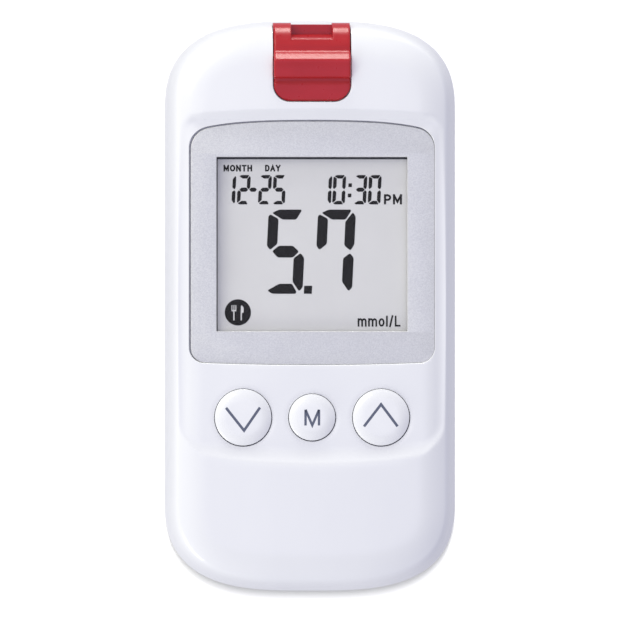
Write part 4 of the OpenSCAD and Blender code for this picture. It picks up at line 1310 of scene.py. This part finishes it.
def dress_inner_parts(nickel, steel):
    """Finishes for the frame's own solids, whose shapes are right as they are."""
    gold = metal("contact_gold", (0.75, 0.5, 0.16), (0.85, 0.6, 0.22), 0.16, 0.3, (1, 0.2, 1))
    white = moulded("frame_white", (0.72, 0.72, 0.70), (0.80, 0.80, 0.78))
    black = moulded("chip_black", (0.012, 0.012, 0.014), (0.026, 0.026, 0.028), 0.5, 0.7, 0.1, 0.004)
    finishes = {
        # the display glass is near black: where the film stops short of the window it shows as a painted shadow along
        # the window's top and left edges
        "lcd_front_glass": moulded("display_bare_glass", (0.07, 0.075, 0.08), (0.10, 0.105, 0.11), 0.1, 0.2,
                                   1.0, 0.001),
        "lcd_rear_glass": moulded("display_back", (0.42, 0.44, 0.43), (0.5, 0.52, 0.51), 0.2, 0.35),
        "lcd_frame": white, "ejector_carriage": white,
        "zebra_strip": moulded("zebra_rubber", (0.03, 0.03, 0.034), (0.06, 0.06, 0.066), 0.6, 0.8, 0.15, 0.006),
        "main_board": board_mask(), "board_chips": black, "buzzer": black,
        "tact_switches": steel,
        "strip_connector": moulded("socket_black", (0.02, 0.02, 0.023), (0.04, 0.04, 0.045)),
        "strip_contacts": gold, "battery_plates": nickel,
    }
    finishes.update({"plunger_" + key: black for key in KEYS})
    for node, finish in finishes.items():
        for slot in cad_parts[node].material_slots:
            slot.material = finish


# ---------- studio ----------

FRAME_SIDE, SENSOR_W = 621, 36
PIXEL = 0.16857  # millimetres for each pixel of the frame, at the parting line
VIEW_LEAN = math.radians(2.2)  # the camera stands a little to the left
CAMERA_AWAY = 3.0
AIM_OFF = (0.5, -4.75)  # pixels from the meter's middle to the frame's middle
FLOOR_Z, FLOOR_REACH = -0.0004, 3
PAPER_LEANS = (0.045, 0.08, 0.115, 0.15)
PAPER_POWER, PAPER_SUN = 6.6, 2.5  # the paper lamps' power together, and each one's width in degrees


def studio():
    floor = bpy.data.meshes.new("floor")
    corners = ((-1, -1), (1, -1), (1, 1), (-1, 1))
    floor.from_pydata([(x * FLOOR_REACH, y * FLOOR_REACH, FLOOR_Z) for x, y in corners], [], [(0, 1, 2, 3)])
    table = in_scene("floor", floor)
    paper = Finish("floor_paper", 0.9, Specular_IOR_Level=0.1, Emission_Color=(1, 1, 1, 1), Emission_Strength=0.31)
    paper.tint(paper.noise(60, 3), (0.29, 0.29, 0.295), (0.31, 0.31, 0.31))
    floor.materials.append(paper.material)
    table.visible_diffuse = table.visible_glossy = False

    def softbox(name, place, size, watts):
        """Square softbox that looks at the meter, with its power in red, green and blue."""
        light = bpy.data.lights.new(name, "AREA")
        light.size = size
        light.energy = max(watts)
        light.color = [part / max(watts) for part in watts]
        stand = in_scene(name, light)
        stand.location = place
        stand.rotation_euler = (Vector((0, 0, 0.02)) - Vector(place)).to_track_quat("-Z", "Y").to_euler()
        stand.visible_camera = False

    softbox("key_upper_left", (-0.35, 0.35, 0.4), 0.4, (1.25, 1.23, 0.97))
    softbox("low_behind", (0, 0.6, 0.08), 0.25, (2.28, 2.30, 2.05))
    softbox("low_lower_left", (-0.45, -0.4, 0.2), 0.3, (1.73, 1.75, 1.54))
    softbox("overhead", (0, 0, 0.8), 0.5, (0.20, 0.20, 0.36))

    # the paper has lamps of its own, nearly overhead, so that only a thin shadow shows at the foot
    lit = bpy.data.collections.new("paper_only")
    lit.objects.link(table)
    for number, lean in enumerate(PAPER_LEANS):
        paper_lamp = bpy.data.lights.new("paper_lamp_%d" % number, "SUN")
        paper_lamp.energy, paper_lamp.angle = PAPER_POWER / len(PAPER_LEANS), math.radians(PAPER_SUN)
        lamp = in_scene(paper_lamp.name, paper_lamp)
        lamp.rotation_euler = Vector((math.tan(VIEW_LEAN), -lean, -1)).to_track_quat("-Z", "Y").to_euler()
        lamp.light_linking.receiver_collection = lit
    sky = bpy.data.worlds.new("room")
    sky.use_nodes = True
    glow = sky.node_tree.nodes["Background"].inputs
    glow["Color"].default_value, glow["Strength"].default_value = (0.867, 0.87, 1, 1), 0.676
    bpy.context.scene.world = sky

    lens = bpy.data.cameras.new("camera")
    lens.lens = SENSOR_W * CAMERA_AWAY / (FRAME_SIDE * PIXEL * MM)
    lens.clip_start, lens.clip_end = 0.1, 100
    camera = in_scene("camera", lens)
    aim = Vector((AIM_OFF[0] * PIXEL, AIM_OFF[1] * PIXEL, PARTING_Z)) * MM
    back = Vector((-math.sin(VIEW_LEAN), 0, math.cos(VIEW_LEAN)))
    across = Vector((math.cos(VIEW_LEAN), 0, math.sin(VIEW_LEAN)))
    up = Vector((0, 1, 0))
    turn = Matrix((across, up, back)).transposed()
    camera.matrix_world = Matrix.Translation(aim + back * CAMERA_AWAY) @ turn.to_4x4()
    bpy.context.scene.camera = camera
    bpy.context.scene.view_settings.view_transform = "Standard"


build_meter()
studio()
